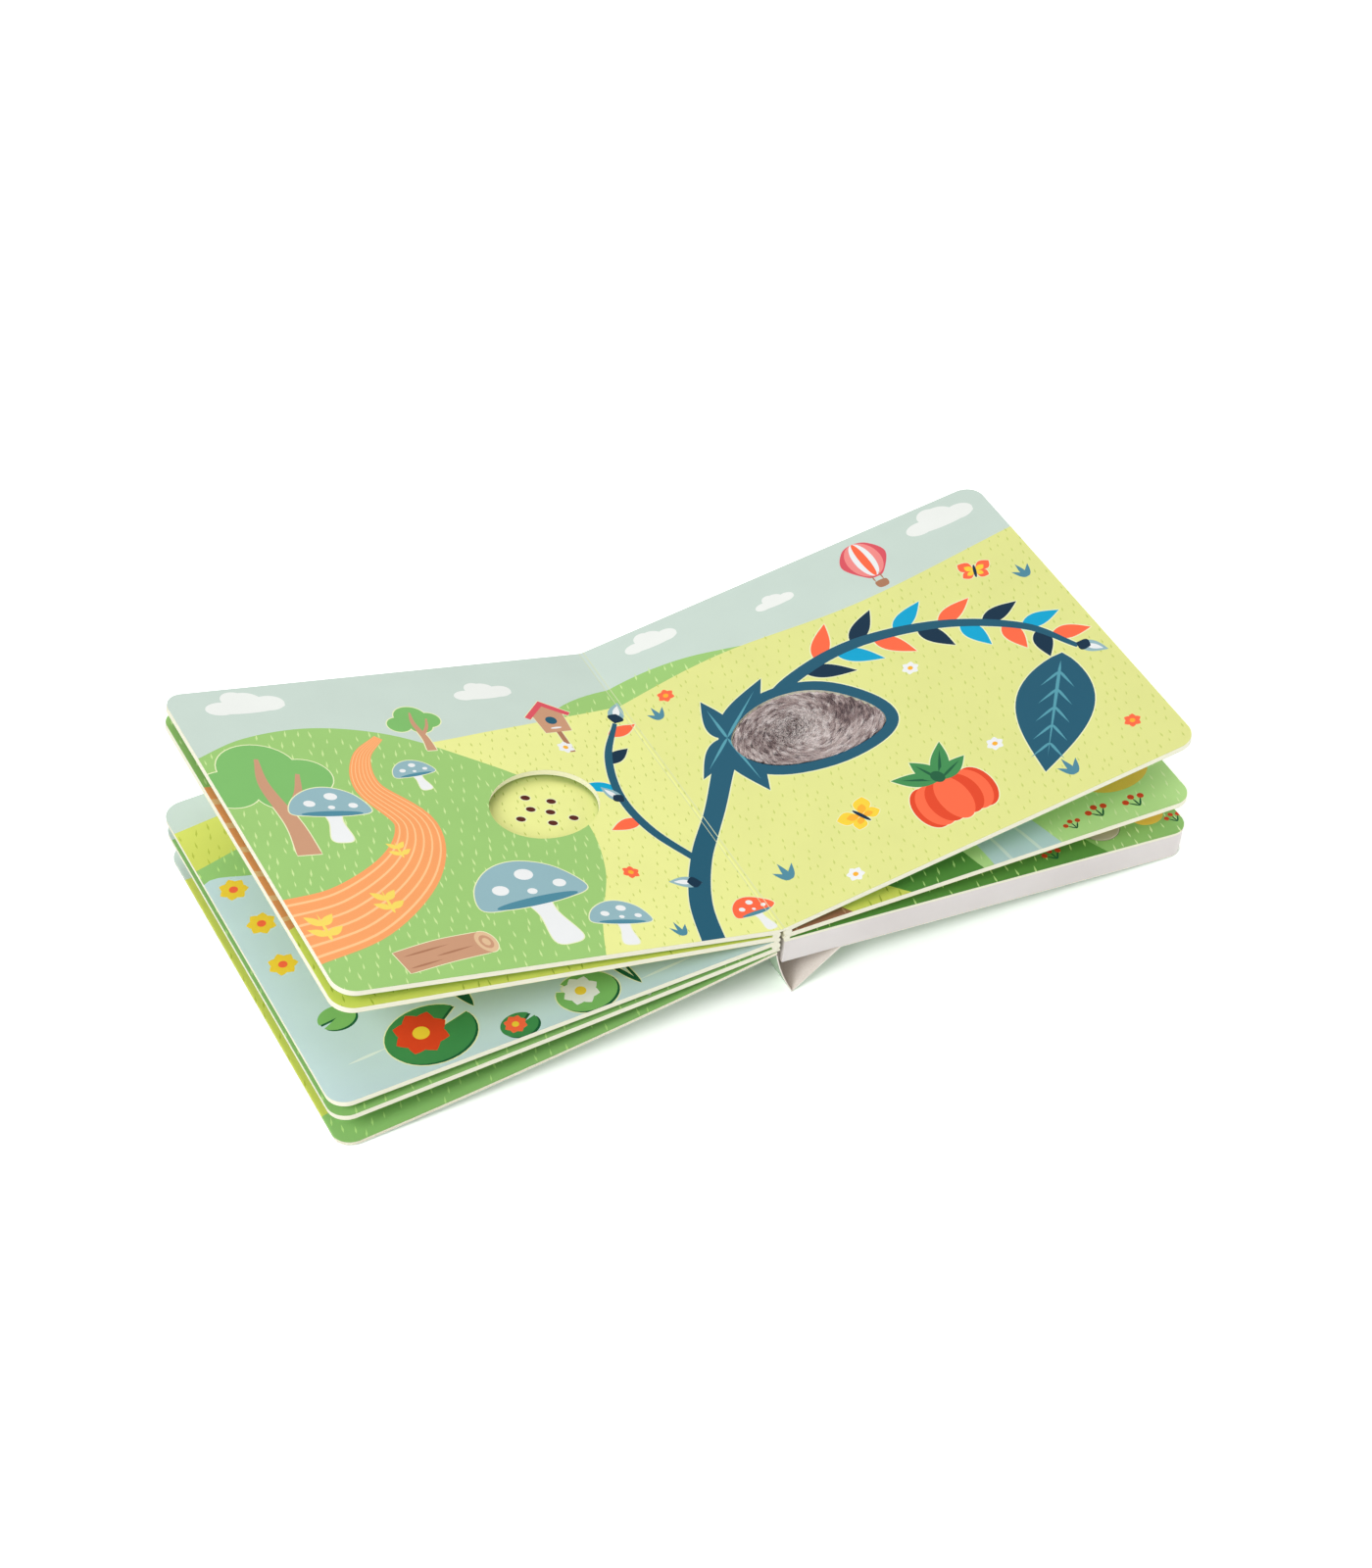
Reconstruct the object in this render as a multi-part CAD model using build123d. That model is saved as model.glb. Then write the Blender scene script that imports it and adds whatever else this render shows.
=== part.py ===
from build123d import *
from math import asin, atan2, cos, degrees, radians, sin, sqrt, tan
import os

# Touch-and-feel board book with a sound block, lying open in the middle of its pages.
# The spine runs along Y, X crosses the open spread with the front cover at minus X, and Z
# is up from the table. Lengths are millimetres and angles are degrees.

# Boards and card
page_width = 200.0
page_height = 193.5
corner_radius = 9.0
board_thickness = 1.2
cover_thickness = 1.5
card_thickness = 0.5
overrun = 1.0
on_floor = (Align.CENTER, Align.CENTER, Align.MIN)

# Folds at the spine
gutter_gap = 1.6
crease_gap = 1.7
fold_depth = 1.9
nose_root = 0.8
fold_gap_1_2 = 1.3
fold_gap_2_3 = 0.15
fold_gap_3_4 = 1.45
fold_gap_4_cover = 0.4
fold_gap_right_1_2 = 1.3
fold_gap_right_2_3 = 1.0

# How each leaf rises from its fold towards its fore-edge
leaf_1_rise = 14.2
leaf_2_rise = 12.6
leaf_3_rise = -2.1
leaf_4_rise = -3.35
right_1_rise = 7.95
right_2_rise = -1.15
cover_fold_slope = 9.4

# Finger hole in the first left leaf and fur window in the first right leaf
hole_length = 55.2
hole_width = 41.4
hole_reach = 64.8
hole_offset = -0.95
hole_turn = -24.8
window_length = 66.8
window_width = 44.0
window_reach = 64.0
window_offset = 1.0
window_turn = -25.0
fur_side_gap = 0.3
fur_thickness = 1.35
fur_edge_radius = 0.5
window_outline_shares = [(-0.5, -0.02), (-0.34, 0.335), (-0.04, 0.5), (0.28, 0.36),
                         (0.5, -0.03), (0.34, -0.3), (0.0, -0.49), (-0.34, -0.43)]

# Thick block at the back of the book
block_thickness = 13.1
block_inset = 1.4
spine_lift = 19.3
case_wall = 2.0
case_floor = 1.6
rib_thickness = 1.2
spine_rib_shares = [0.525, 0.945]
rib_offset_shares = [0.06, 0.29]
cross_rib_reach_shares = [0.52, 0.77]

# Wrap-round cover card
cover_margin = 28.0
spine_bow = 1.0
hinge_clearance = 0.6
service_margin = 7.0
service_corner = 6.0

# Loudspeaker
speaker_gap = 1.6
speaker_radius = 18.0
speaker_height = 4.0
speaker_wall = 1.4
speaker_lip = 0.8
magnet_radius = 8.0
magnet_height = 2.4
cone_radius = 15.0
cone_hub_radius = 5.0
cone_thickness = 0.4
cone_stand = 0.5
cone_rise = 1.5
ring_wall = 1.2
ring_height = 2.0
ring_clearance = 0.2
grille_hole_radius = 1.1
grille_ring_pitch = 4.6
grille_rings = 2
grille_holes_per_ring = 6

# Battery compartment
cell_radius = 5.8
cell_height = 5.4
cell_gap = 0.4
cell_count = 3
battery_from_edge = 76.0
battery_from_side = 46.75
cell_side_gap = 1.2
cell_headroom = 0.4
screw_land = 13.1
door_thickness = 1.0
door_clearance = 0.2
door_corner = 1.5
door_ledge = 1.5
box_wall = 1.2
screw_edge = 4.0
screw_head_radius = 1.9
screw_head_height = 0.6
screw_shank_radius = 1.0
screw_length = 5.0
screw_slot = 0.5
screw_slot_share = 0.7
screw_clearance = 0.15
boss_radius = 2.4
contact_thickness = 0.4
contact_width = 8.0
contact_height = 4.4
contact_room = 1.9

# Circuit board, switch and press button
circuit_length = 62.0
circuit_width = 68.0
circuit_thickness = 1.0
circuit_gap = 0.5
post_radius = 2.0
post_inset = 3.0
chip_radius = 6.0
chip_height = 1.6
chip_shift_along = -3.0
chip_shift_across = 18.0
dome_radius = 5.0
dome_height = 0.4
dome_inset_along = 12.3
dome_inset_across = 9.8
button_from_edge = 38.3
button_from_side = 16.55
button_radius = 9.6
button_clearance = 0.3
button_stand = 0.5
button_edge_radius = 0.4
button_flange_radius = 11.5
button_flange_thickness = 0.7
button_stem_radius = 3.0
button_travel = 0.8
button_rest_gap = 0.1
switch_inset_along = 12.0
switch_inset_across = 6.0
switch_length = 9.0
switch_width = 5.0
switch_height = 3.2
knob_length = 4.6
knob_width = 2.2
knob_recess = 0.1
knob_travel = 3.0
knob_clearance = 0.2
knob_flange = 1.2
knob_flange_thickness = 0.8

# Worked-out sizes
leaf_thickness = 2 * board_thickness
half_height = page_height / 2
block_length = page_width
fold_x = gutter_gap / 2 + fold_depth
crease_x = crease_gap / 2
case_height = block_thickness - board_thickness - card_thickness
case_top = card_thickness + case_height
floor_top = card_thickness + case_floor
block_tilt = degrees(asin(spine_lift / block_length))
block_x = block_inset - block_thickness * sin(radians(block_tilt))

# Places on the block, set out from its fore-edge and its near side
button_reach = block_length - button_from_edge
button_offset = button_from_side - half_height
board_reach = button_reach + dome_inset_along - circuit_length / 2
board_offset = button_offset - dome_inset_across + circuit_width / 2
chip_reach = board_reach + chip_shift_along
chip_offset = board_offset + chip_shift_across
switch_reach = board_reach - circuit_length / 2 + switch_inset_along
switch_offset = board_offset + circuit_width / 2 - switch_inset_across
row_length = 2 * cell_radius * cell_count + cell_gap * (cell_count - 1) + 2 * contact_room
door_length = door_ledge + row_length + screw_land
door_width = 2 * (cell_radius + cell_side_gap + door_ledge)
box_height = card_thickness + door_thickness + cell_height + cell_headroom - floor_top
circuit_level = floor_top + box_height + circuit_gap
battery_reach = block_length - battery_from_edge
battery_offset = battery_from_side - half_height
ring_inner = speaker_radius + ring_clearance
ring_outer = ring_inner + ring_wall
speaker_reach = battery_reach - door_length / 2 - speaker_gap - ring_outer
speaker_offset = battery_offset
grille_radius = grille_ring_pitch * grille_rings + grille_hole_radius

# Heights of the top faces at the fold, from the block up and then down the left stack
block_page_z = (spine_lift + block_thickness * cos(radians(block_tilt))
                - (fold_x - block_inset) * tan(radians(block_tilt)))
right_2_z = block_page_z + fold_gap_right_2_3 + leaf_thickness
right_1_z = right_2_z + fold_gap_right_1_2 + leaf_thickness
gutter_z = right_1_z - (fold_x - crease_x) * tan(radians(right_1_rise))
leaf_1_z = gutter_z + (fold_x - crease_x) * tan(radians(leaf_1_rise))
leaf_2_z = leaf_1_z - leaf_thickness - fold_gap_1_2
leaf_3_z = leaf_2_z - leaf_thickness - fold_gap_2_3
leaf_4_z = leaf_3_z - leaf_thickness - fold_gap_3_4
cover_z = leaf_4_z - leaf_thickness - fold_gap_4_cover
hinge_z = cover_z - cover_thickness / 2


def outline(start, end, radius):
    """Flat page from start to end along X, its two fore-edge corners rounded."""
    sheet = Pos(start, 0) * Rectangle(end - start, page_height, align=(Align.MIN, Align.CENTER))
    return fillet(sheet.vertices().sort_by(Axis.X)[-2:], radius)


def slab(start, end, low, high):
    """Page-shaped board between two levels."""
    return Pos(0, 0, low) * extrude(outline(start, end, corner_radius), amount=high - low)


def window_outline(shrink):
    """Egg-shaped outline of the fur window, drawn in by shrink all round."""
    long_size = window_length - 2 * shrink
    short_size = window_width - 2 * shrink
    points = [(a * long_size, b * short_size) for a, b in window_outline_shares]
    egg = make_face(Spline(*points, periodic=True))
    return Pos(window_reach - crease_x, window_offset) * Rot(0, 0, window_turn) * egg


def lay(x, z, rise, shape):
    """Turn a right-hand shape up by rise about its fold and set the fold at x, z."""
    return Pos(x, 0, z) * Rot(0, -rise, 0) * shape


def nose(upper, lower):
    """Rounded fold between the middles of two boards, on the right of the gutter."""
    radius = (upper - lower) / 2
    centre_x = gutter_gap / 2 + radius
    root_x = max(centre_x, fold_x) + nose_root
    profile = Circle(radius)
    profile += Rectangle(root_x - centre_x, 2 * radius, align=(Align.MIN, Align.CENTER))
    fold = extrude(Plane.XZ * profile, amount=half_height, both=True)
    return Pos(centre_x, 0, (upper + lower) / 2) * fold


def on_block(shape):
    """Move a shape from the block's own frame, which lies flat, to its tilted place."""
    return Pos(block_x, 0, spine_lift) * Rot(0, block_tilt, 0) * shape


def block_point(reach, level):
    """X and Z of a point that lies reach along the block and level above its underside."""
    turn = radians(block_tilt)
    return (block_x + reach * cos(turn) + level * sin(turn),
            spine_lift - reach * sin(turn) + level * cos(turn))


def rounded_plate(length, width, thickness, radius):
    """Plate on the XY plane with its four corners rounded."""
    return extrude(RectangleRounded(length, width, radius), amount=thickness)


def post(radius, height):
    """Cylinder that stands on the XY plane."""
    return extrude(Circle(radius), amount=height)


def make_pages():
    """All leaves, folded and glued at the spine into one solid."""
    open_board = slab(0, page_width - crease_x, -board_thickness, 0)
    back_board = slab(fold_x - crease_x, page_width - crease_x, -leaf_thickness, -board_thickness)
    leaf = slab(0, page_width - fold_x, -leaf_thickness, 0)
    oval = extrude(Ellipse(hole_length / 2, hole_width / 2), amount=leaf_thickness + 2 * overrun)
    hole = Pos(hole_reach - crease_x, hole_offset, -leaf_thickness - overrun)
    hole = hole * Rot(0, 0, hole_turn) * oval
    first_left = lay(crease_x, gutter_z, leaf_1_rise, open_board + back_board - hole)
    window = extrude(window_outline(0), amount=-board_thickness)
    first_right = lay(crease_x, gutter_z, right_1_rise, open_board + back_board - window)

    middle = leaf_thickness / 2
    left = first_left
    left += lay(fold_x, leaf_2_z, leaf_2_rise, leaf)
    left += lay(fold_x, leaf_3_z, leaf_3_rise, leaf)
    left += lay(fold_x, leaf_4_z, leaf_4_rise, leaf)
    left += nose(leaf_1_z - middle, leaf_2_z - middle)
    left += nose(leaf_2_z - middle, leaf_3_z - middle)
    left += nose(leaf_3_z - middle, leaf_4_z - middle)
    left += nose(leaf_4_z - middle, leaf_4_z - leaf_thickness)

    block_page = slab(0, block_length, case_top, block_thickness)
    button_hole = Pos(button_reach, button_offset, case_top - overrun)
    button_hole = button_hole * post(button_radius + button_clearance, board_thickness + 2 * overrun)
    right = first_right
    right += lay(fold_x, right_2_z, right_2_rise, leaf)
    right += on_block(block_page - button_hole)
    right += nose(right_1_z - middle, right_2_z - middle)
    right += nose(right_2_z - middle, block_page_z - board_thickness / 2)

    bridge = Pos(0, 0, gutter_z - board_thickness / 2)
    bridge = bridge * Box(crease_gap + 2 * crease_x, page_height, board_thickness)
    return mirror(left, Plane.YZ) + right + bridge


def make_fur():
    """Fur patch glued to the back board inside the window."""
    patch = extrude(window_outline(fur_side_gap), amount=fur_thickness)
    patch = fillet(patch.edges().group_by(Axis.Z)[-1], fur_edge_radius)
    return lay(crease_x, gutter_z, right_1_rise, Pos(0, 0, -board_thickness) * patch)


def make_front_cover():
    """Front cover board, bowed from its hinge down to the table at its fore-edge."""
    length = page_width - fold_x - cover_thickness / 2
    end_z = cover_thickness / 2
    chord_slope = degrees(asin((hinge_z - end_z) / length))
    end = (-fold_x - length * cos(radians(chord_slope)), end_z)
    start = (-fold_x, hinge_z)
    slope = radians(cover_fold_slope)
    bow = TangentArc(start, end, tangent=(-cos(slope), -sin(slope)))
    board = extrude(Plane.XZ * SlotArc(bow, cover_thickness), amount=half_height, both=True)
    reach = page_width + overrun
    plan = outline(-fold_x - cover_thickness, -end[0] + cover_thickness / 2, corner_radius)
    prism = mirror(Pos(0, 0, -reach) * extrude(plan, amount=2 * reach), Plane.YZ)
    return board & prism


def straight_card(start, end):
    """Profile of a straight stretch of card between two points of the XZ plane."""
    edge = Line(start, end)
    turn = Rot(0, 0, degrees(atan2(end[1] - start[1], end[0] - start[0])))
    middle = edge @ 0.5
    return Pos(middle.X, middle.Y) * turn * SlotCenterToCenter(edge.length, card_thickness)


def make_wrap_cover():
    """Spine strip, free margin and glued back panel, folded from one card."""
    middle = card_thickness / 2
    meet = block_point(cover_margin, middle)
    tip = (meet[0] - sqrt(cover_margin ** 2 - (meet[1] - middle) ** 2), middle)
    hinge = Vector(-fold_x, hinge_z)
    down = (Vector(*tip) - hinge).normalized()
    top = hinge + down * (cover_thickness / 2 + hinge_clearance + middle)
    bulge = (top + Vector(*tip)) * 0.5 + Vector(down.Y, -down.X) * spine_bow
    spine = SlotArc(ThreePointArc(top, bulge, tip), card_thickness)
    profile = spine + straight_card(tip, meet)
    folded = extrude(Plane.XZ * profile, amount=half_height, both=True)
    panel = slab(cover_margin, block_length, 0, card_thickness)
    return folded + on_block(panel - service_window())


def service_window():
    """Cutter for the back panel's window round the grille, the battery door and the switch."""
    start = speaker_reach - grille_radius - service_margin
    end = battery_reach + door_length / 2 + service_margin
    low = battery_offset - door_width / 2 - service_margin
    high = switch_offset + knob_width / 2 + service_margin
    cutter = rounded_plate(end - start, high - low, card_thickness + 2 * overrun, service_corner)
    return Pos((start + end) / 2, (low + high) / 2, -overrun) * cutter


def door_place(level):
    """Place on the block at the middle of the battery door."""
    return Pos(battery_reach, battery_offset, level)


def cell_row():
    """Places of the battery cells, in a row towards the spine end of the door."""
    pitch = 2 * cell_radius + cell_gap
    first = battery_reach - door_length / 2 + door_ledge + contact_room + cell_radius
    return [first + pitch * i for i in range(cell_count)]


def battery_room():
    """Start and end, along the block, of the opening that the cells drop into."""
    cells = cell_row()
    return cells[0] - cell_radius - contact_room, cells[-1] + cell_radius + contact_room


def screw_reach():
    """Distance along the block of the battery door's screw."""
    return battery_reach + door_length / 2 - screw_edge


def make_case():
    """Moulded tray of the sound block, with its ribs, boxes and posts."""
    tray = slab(0, block_length, card_thickness, case_top)
    inner = offset(outline(0, block_length, corner_radius), -case_wall)
    hollow = Pos(0, 0, floor_top) * extrude(inner, amount=case_height)
    rib_height = case_top - floor_top
    ribs = Part()
    free_length = speaker_reach - ring_outer
    for share in spine_rib_shares:
        bar = Box(rib_thickness, page_height - case_wall, rib_height, align=on_floor)
        ribs += Pos(share * free_length, 0, floor_top) * bar
    start = spine_rib_shares[-1] * free_length
    for share in rib_offset_shares:
        bar = Box(block_length - start - case_wall / 2, rib_thickness, rib_height,
                  align=(Align.MIN, Align.CENTER, Align.MIN))
        ribs += Pos(start, share * page_height, floor_top) * bar
    low = rib_offset_shares[0] * page_height
    for share in cross_rib_reach_shares:
        bar = Box(rib_thickness, half_height - low - case_wall / 2, rib_height,
                  align=(Align.CENTER, Align.MIN, Align.MIN))
        ribs += Pos(share * block_length, low, floor_top) * bar
    tray = tray - hollow + ribs

    ring = post(ring_outer, ring_height) - post(ring_inner, ring_height)
    tray += Pos(speaker_reach, speaker_offset, floor_top) * ring
    tray -= Pos(speaker_reach, speaker_offset, card_thickness - overrun) * grille()

    room_start, room_end = battery_room()
    room_length = room_end - room_start
    room_width = door_width - 2 * door_ledge
    room_place = Pos((room_start + room_end) / 2, battery_offset, 0)
    wall = Box(room_length + 2 * box_wall, room_width + 2 * box_wall, box_height, align=on_floor)
    tray += room_place * Pos(0, 0, floor_top) * wall
    boss = Pos(screw_reach(), battery_offset, floor_top) * post(boss_radius, box_height)
    tray += boss
    tray -= room_place * Box(room_length, room_width, 2 * (floor_top + box_height + overrun))
    pocket = rounded_plate(door_length + 2 * door_clearance, door_width + 2 * door_clearance,
                           door_thickness + overrun, door_corner)
    tray -= door_place(card_thickness - overrun) * pocket
    screw_hole = Pos(screw_reach(), battery_offset, card_thickness)
    tray -= screw_hole * post(screw_shank_radius, door_thickness + screw_length)

    for reach, offset_y in post_places():
        tray += Pos(reach, offset_y, floor_top) * post(post_radius, circuit_level - floor_top)
    slot = Box(knob_length + knob_travel + 2 * knob_clearance, knob_width + 2 * knob_clearance,
               2 * (floor_top + overrun))
    tray -= Pos(switch_reach, switch_offset, 0) * slot
    return on_block(tray)


def grille():
    """Drills for the loudspeaker's holes: one in the middle and rings about it."""
    depth = case_floor + 2 * overrun
    drills = post(grille_hole_radius, depth)
    for ring in range(1, grille_rings + 1):
        places = PolarLocations(grille_ring_pitch * ring, grille_holes_per_ring * ring)
        drills += [place * post(grille_hole_radius, depth) for place in places]
    return drills


def post_places():
    """Four posts under the corners of the circuit board."""
    across = circuit_length / 2 - post_inset
    along = circuit_width / 2 - post_inset
    signs = [(i, j) for i in (-1, 1) for j in (-1, 1)]
    return [(board_reach + i * across, board_offset + j * along) for i, j in signs]


def make_speaker():
    """Frame, magnet and cone of the loudspeaker, face down on the case's floor."""
    place = Pos(speaker_reach, speaker_offset, floor_top)
    basket = post(speaker_radius, speaker_height)
    inside = post(speaker_radius - speaker_wall, speaker_height - speaker_wall)
    rim = post(speaker_radius - speaker_wall, speaker_lip) - post(cone_radius, speaker_lip)
    frame = basket - inside + rim
    magnet = Pos(0, 0, speaker_height) * post(magnet_radius, magnet_height)
    outer = (cone_radius - ring_clearance, cone_stand)
    inner = (cone_hub_radius, cone_stand + cone_rise)
    up = (0, cone_thickness)
    skin = make_face(Polyline((0, inner[1]), inner, outer, (outer[0], outer[1] + up[1]),
                              (inner[0], inner[1] + up[1]), (0, inner[1] + up[1]), close=True))
    cone = revolve(Plane.XZ * skin, Axis.Z)
    return on_block(place * frame), on_block(place * magnet), on_block(place * cone)


def make_door():
    """Battery door, flush with the case's underside, with a countersunk screw hole."""
    plate = rounded_plate(door_length, door_width, door_thickness, door_corner)
    plate = door_place(card_thickness) * plate
    hole = Pos(screw_reach(), battery_offset, card_thickness)
    plate -= hole * post(screw_head_radius + screw_clearance, screw_head_height)
    plate -= hole * post(screw_shank_radius + screw_clearance, door_thickness)
    return on_block(plate)


def make_screw():
    """Pan-head screw with a cross slot, up through the door into the case's boss."""
    head = post(screw_head_radius, screw_head_height)
    slot = Box(2 * screw_head_radius * screw_slot_share, screw_slot, screw_head_height)
    for turn in (0, 90):
        head -= Rot(0, 0, turn) * slot
    shank = Pos(0, 0, screw_head_height) * post(screw_shank_radius, screw_length)
    return on_block(Pos(screw_reach(), battery_offset, card_thickness) * (head + shank))


def make_contact(side):
    """Bent spring strip between the end of the cells' room and the end cell."""
    room = battery_room()
    wall_x = room[0] if side < 0 else room[1]
    thick = -side * contact_thickness
    reach = -side * contact_room
    middle = contact_height / 2
    points = [(0, 0), (thick, 0), (reach, middle), (thick, contact_height), (0, contact_height),
              (reach - thick, middle)]
    side_view = Plane.XZ * make_face(Polyline(*points, close=True))
    strip = extrude(side_view, amount=contact_width / 2, both=True)
    level = card_thickness + door_thickness + (cell_height - contact_height) / 2
    return on_block(Pos(wall_x, battery_offset, level) * strip)


def make_button():
    """Round press button, held down by its flange under the block's page."""
    bottom = circuit_level + circuit_thickness + dome_height + button_travel + button_rest_gap
    flange_top = case_top - button_clearance
    flange_low = flange_top - button_flange_thickness
    stem = Pos(0, 0, bottom) * post(button_stem_radius, flange_low - bottom)
    flange = Pos(0, 0, flange_low) * post(button_flange_radius, button_flange_thickness)
    cap = post(button_radius, block_thickness + button_stand - flange_top)
    cap = fillet(cap.edges().group_by(Axis.Z)[-1], button_edge_radius)
    button = stem + flange + Pos(0, 0, flange_top) * cap
    return on_block(Pos(button_reach, button_offset) * button)


def make_switch():
    """Body of the slide switch under the circuit board, and its sliding knob."""
    body_low = circuit_level - switch_height
    body = Pos(switch_reach, switch_offset, body_low)
    body = body * Box(switch_length, switch_width, switch_height, align=on_floor)
    rest = switch_reach - knob_travel / 2
    stem_height = body_low - knob_clearance - knob_recess
    stem = Box(knob_length, knob_width, stem_height, align=on_floor)
    flange = Box(knob_length + 2 * knob_flange, knob_width + 2 * knob_flange,
                 knob_flange_thickness, align=on_floor)
    knob = Pos(0, 0, knob_recess) * stem + Pos(0, 0, floor_top + knob_clearance / 2) * flange
    return on_block(body), on_block(Pos(rest, switch_offset) * knob)


def make_circuit():
    """Circuit board with its sealed chip and the snap dome under the button."""
    place = Pos(board_reach, board_offset, circuit_level)
    board = place * Box(circuit_length, circuit_width, circuit_thickness, align=on_floor)
    top = circuit_level + circuit_thickness
    sphere_radius = (chip_radius ** 2 + chip_height ** 2) / (2 * chip_height)
    ball = Pos(0, 0, chip_height - sphere_radius) * Sphere(sphere_radius)
    chip = Pos(chip_reach, chip_offset, top) * (ball & post(chip_radius, chip_height))
    dome = Pos(button_reach, button_offset, top) * post(dome_radius, dome_height)
    return on_block(board), on_block(chip), on_block(dome)


def make_cell(reach):
    """One round battery cell, lying on the battery door."""
    cell = door_place(card_thickness + door_thickness) * post(cell_radius, cell_height)
    return on_block(Pos(reach - battery_reach, 0, 0) * cell)


def make_all():
    """Every piece by its name."""
    parts = {"board_pages": make_pages(), "fur_patch": make_fur(), "front_cover": make_front_cover(),
             "wrap_cover": make_wrap_cover(), "block_case": make_case(), "battery_door": make_door(),
             "door_screw": make_screw(), "sound_button": make_button()}
    parts["speaker_frame"], parts["speaker_magnet"], parts["speaker_cone"] = make_speaker()
    parts["circuit_board"], parts["sound_chip"], parts["snap_dome"] = make_circuit()
    parts["switch_body"], parts["switch_knob"] = make_switch()
    parts["contact_spine_end"] = make_contact(-1)
    parts["contact_screw_end"] = make_contact(1)
    for number, reach in enumerate(cell_row(), 1):
        parts[f"battery_cell_{number}"] = make_cell(reach)
    return parts


os.makedirs("parts", exist_ok=True)
for name, part in make_all().items():
    export_step(part, f"parts/{name}.step")
    print(name, len(part.solids()), round(part.volume, 1))
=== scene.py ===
# %% [markdown]
# # A touch-and-feel board book that stands open
#
# The book comes from the CAD model as plain solids: boards, a sound block and what is inside it.
# This lesson dresses it. The pages get printed sheets, drawn as fields of colour and simple
# shapes, the window gets a patch of fur, and every part gets a material made of nodes.
#
# Everything is in metres in the CAD's own frame, so a piece only needs to know which face of
# the book it lies on. The drawings themselves are worked out in millimetres on the page.

# %% Load the book's solids
from math import cos, pi, radians, sin

import bpy
import numpy as np
from mathutils import Matrix, Vector
from mathutils.geometry import delaunay_2d_cdt


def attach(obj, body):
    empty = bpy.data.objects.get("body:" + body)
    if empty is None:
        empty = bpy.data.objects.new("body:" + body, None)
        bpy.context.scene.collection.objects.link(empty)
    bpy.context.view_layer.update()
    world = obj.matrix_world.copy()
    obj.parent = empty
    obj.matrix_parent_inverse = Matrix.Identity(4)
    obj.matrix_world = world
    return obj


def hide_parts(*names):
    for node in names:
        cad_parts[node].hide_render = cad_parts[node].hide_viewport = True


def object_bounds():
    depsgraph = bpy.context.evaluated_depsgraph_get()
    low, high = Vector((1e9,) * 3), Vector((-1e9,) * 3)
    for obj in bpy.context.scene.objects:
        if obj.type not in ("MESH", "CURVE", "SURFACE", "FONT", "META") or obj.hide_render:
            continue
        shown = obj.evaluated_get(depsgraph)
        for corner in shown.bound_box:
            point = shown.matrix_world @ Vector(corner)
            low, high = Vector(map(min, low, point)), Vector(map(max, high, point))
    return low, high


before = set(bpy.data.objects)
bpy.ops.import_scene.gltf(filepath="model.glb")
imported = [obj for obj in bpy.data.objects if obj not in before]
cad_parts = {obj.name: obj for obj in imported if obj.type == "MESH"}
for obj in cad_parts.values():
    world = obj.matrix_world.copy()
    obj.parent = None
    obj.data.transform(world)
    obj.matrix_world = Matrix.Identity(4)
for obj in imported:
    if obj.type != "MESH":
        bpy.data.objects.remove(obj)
cad_low, cad_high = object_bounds()
mm = 0.001
print("solids loaded:", len(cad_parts), "size", [round(x, 3) for x in cad_high - cad_low])

# %% [markdown]
# ## Faces to print on
#
# A printed sheet has to end exactly where its board ends, at the rounded corners, the finger
# hole and the fur window. We could type those outlines again, but the CAD mesh already holds
# them. So we look for the large flat faces of the pages: take the largest triangle left, gather
# every triangle in its plane, and keep the edges that only one of them uses. Those edges are the
# face's outline, holes included, and they need no sorting.

# %% Triangles and planes of a CAD node
page_width = 200.0
least_page_area = 25000.0
largest_triangle_share = 0.025
same_plane = 0.02
sliver_area = 1e-6


def triangles_of(name):
    """Corners of a node's triangles in millimetres, as an array of shape (count, 3, 3)."""
    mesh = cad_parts[name].data
    mesh.calc_loop_triangles()
    corners = np.zeros(len(mesh.loop_triangles) * 3, np.int32)
    mesh.loop_triangles.foreach_get("vertices", corners)
    places = np.zeros(len(mesh.vertices) * 3, np.float32)
    mesh.vertices.foreach_get("co", places)
    return places.reshape(-1, 3).astype(float)[corners.reshape(-1, 3)] / mm


def normals_of(triangles):
    """Cross product of two sides: its direction is the normal and half its length the area."""
    cross = np.cross(triangles[:, 1] - triangles[:, 0], triangles[:, 2] - triangles[:, 0])
    length = np.linalg.norm(cross, axis=1)
    return cross / np.maximum(length, 1e-12)[:, None], length / 2


def outline_edges(flat):
    """Edges that only one triangle uses, from the triangles' corners in the face's own plane."""
    points, number = np.unique(np.round(flat.reshape(-1, 2), 3), axis=0, return_inverse=True)
    number = number.reshape(-1, 3)
    pairs = np.sort(np.concatenate([number[:, [0, 1]], number[:, [1, 2]], number[:, [2, 0]]]), axis=1)
    pairs, uses = np.unique(pairs, axis=0, return_counts=True)
    return points[pairs[uses == 1]]


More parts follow.
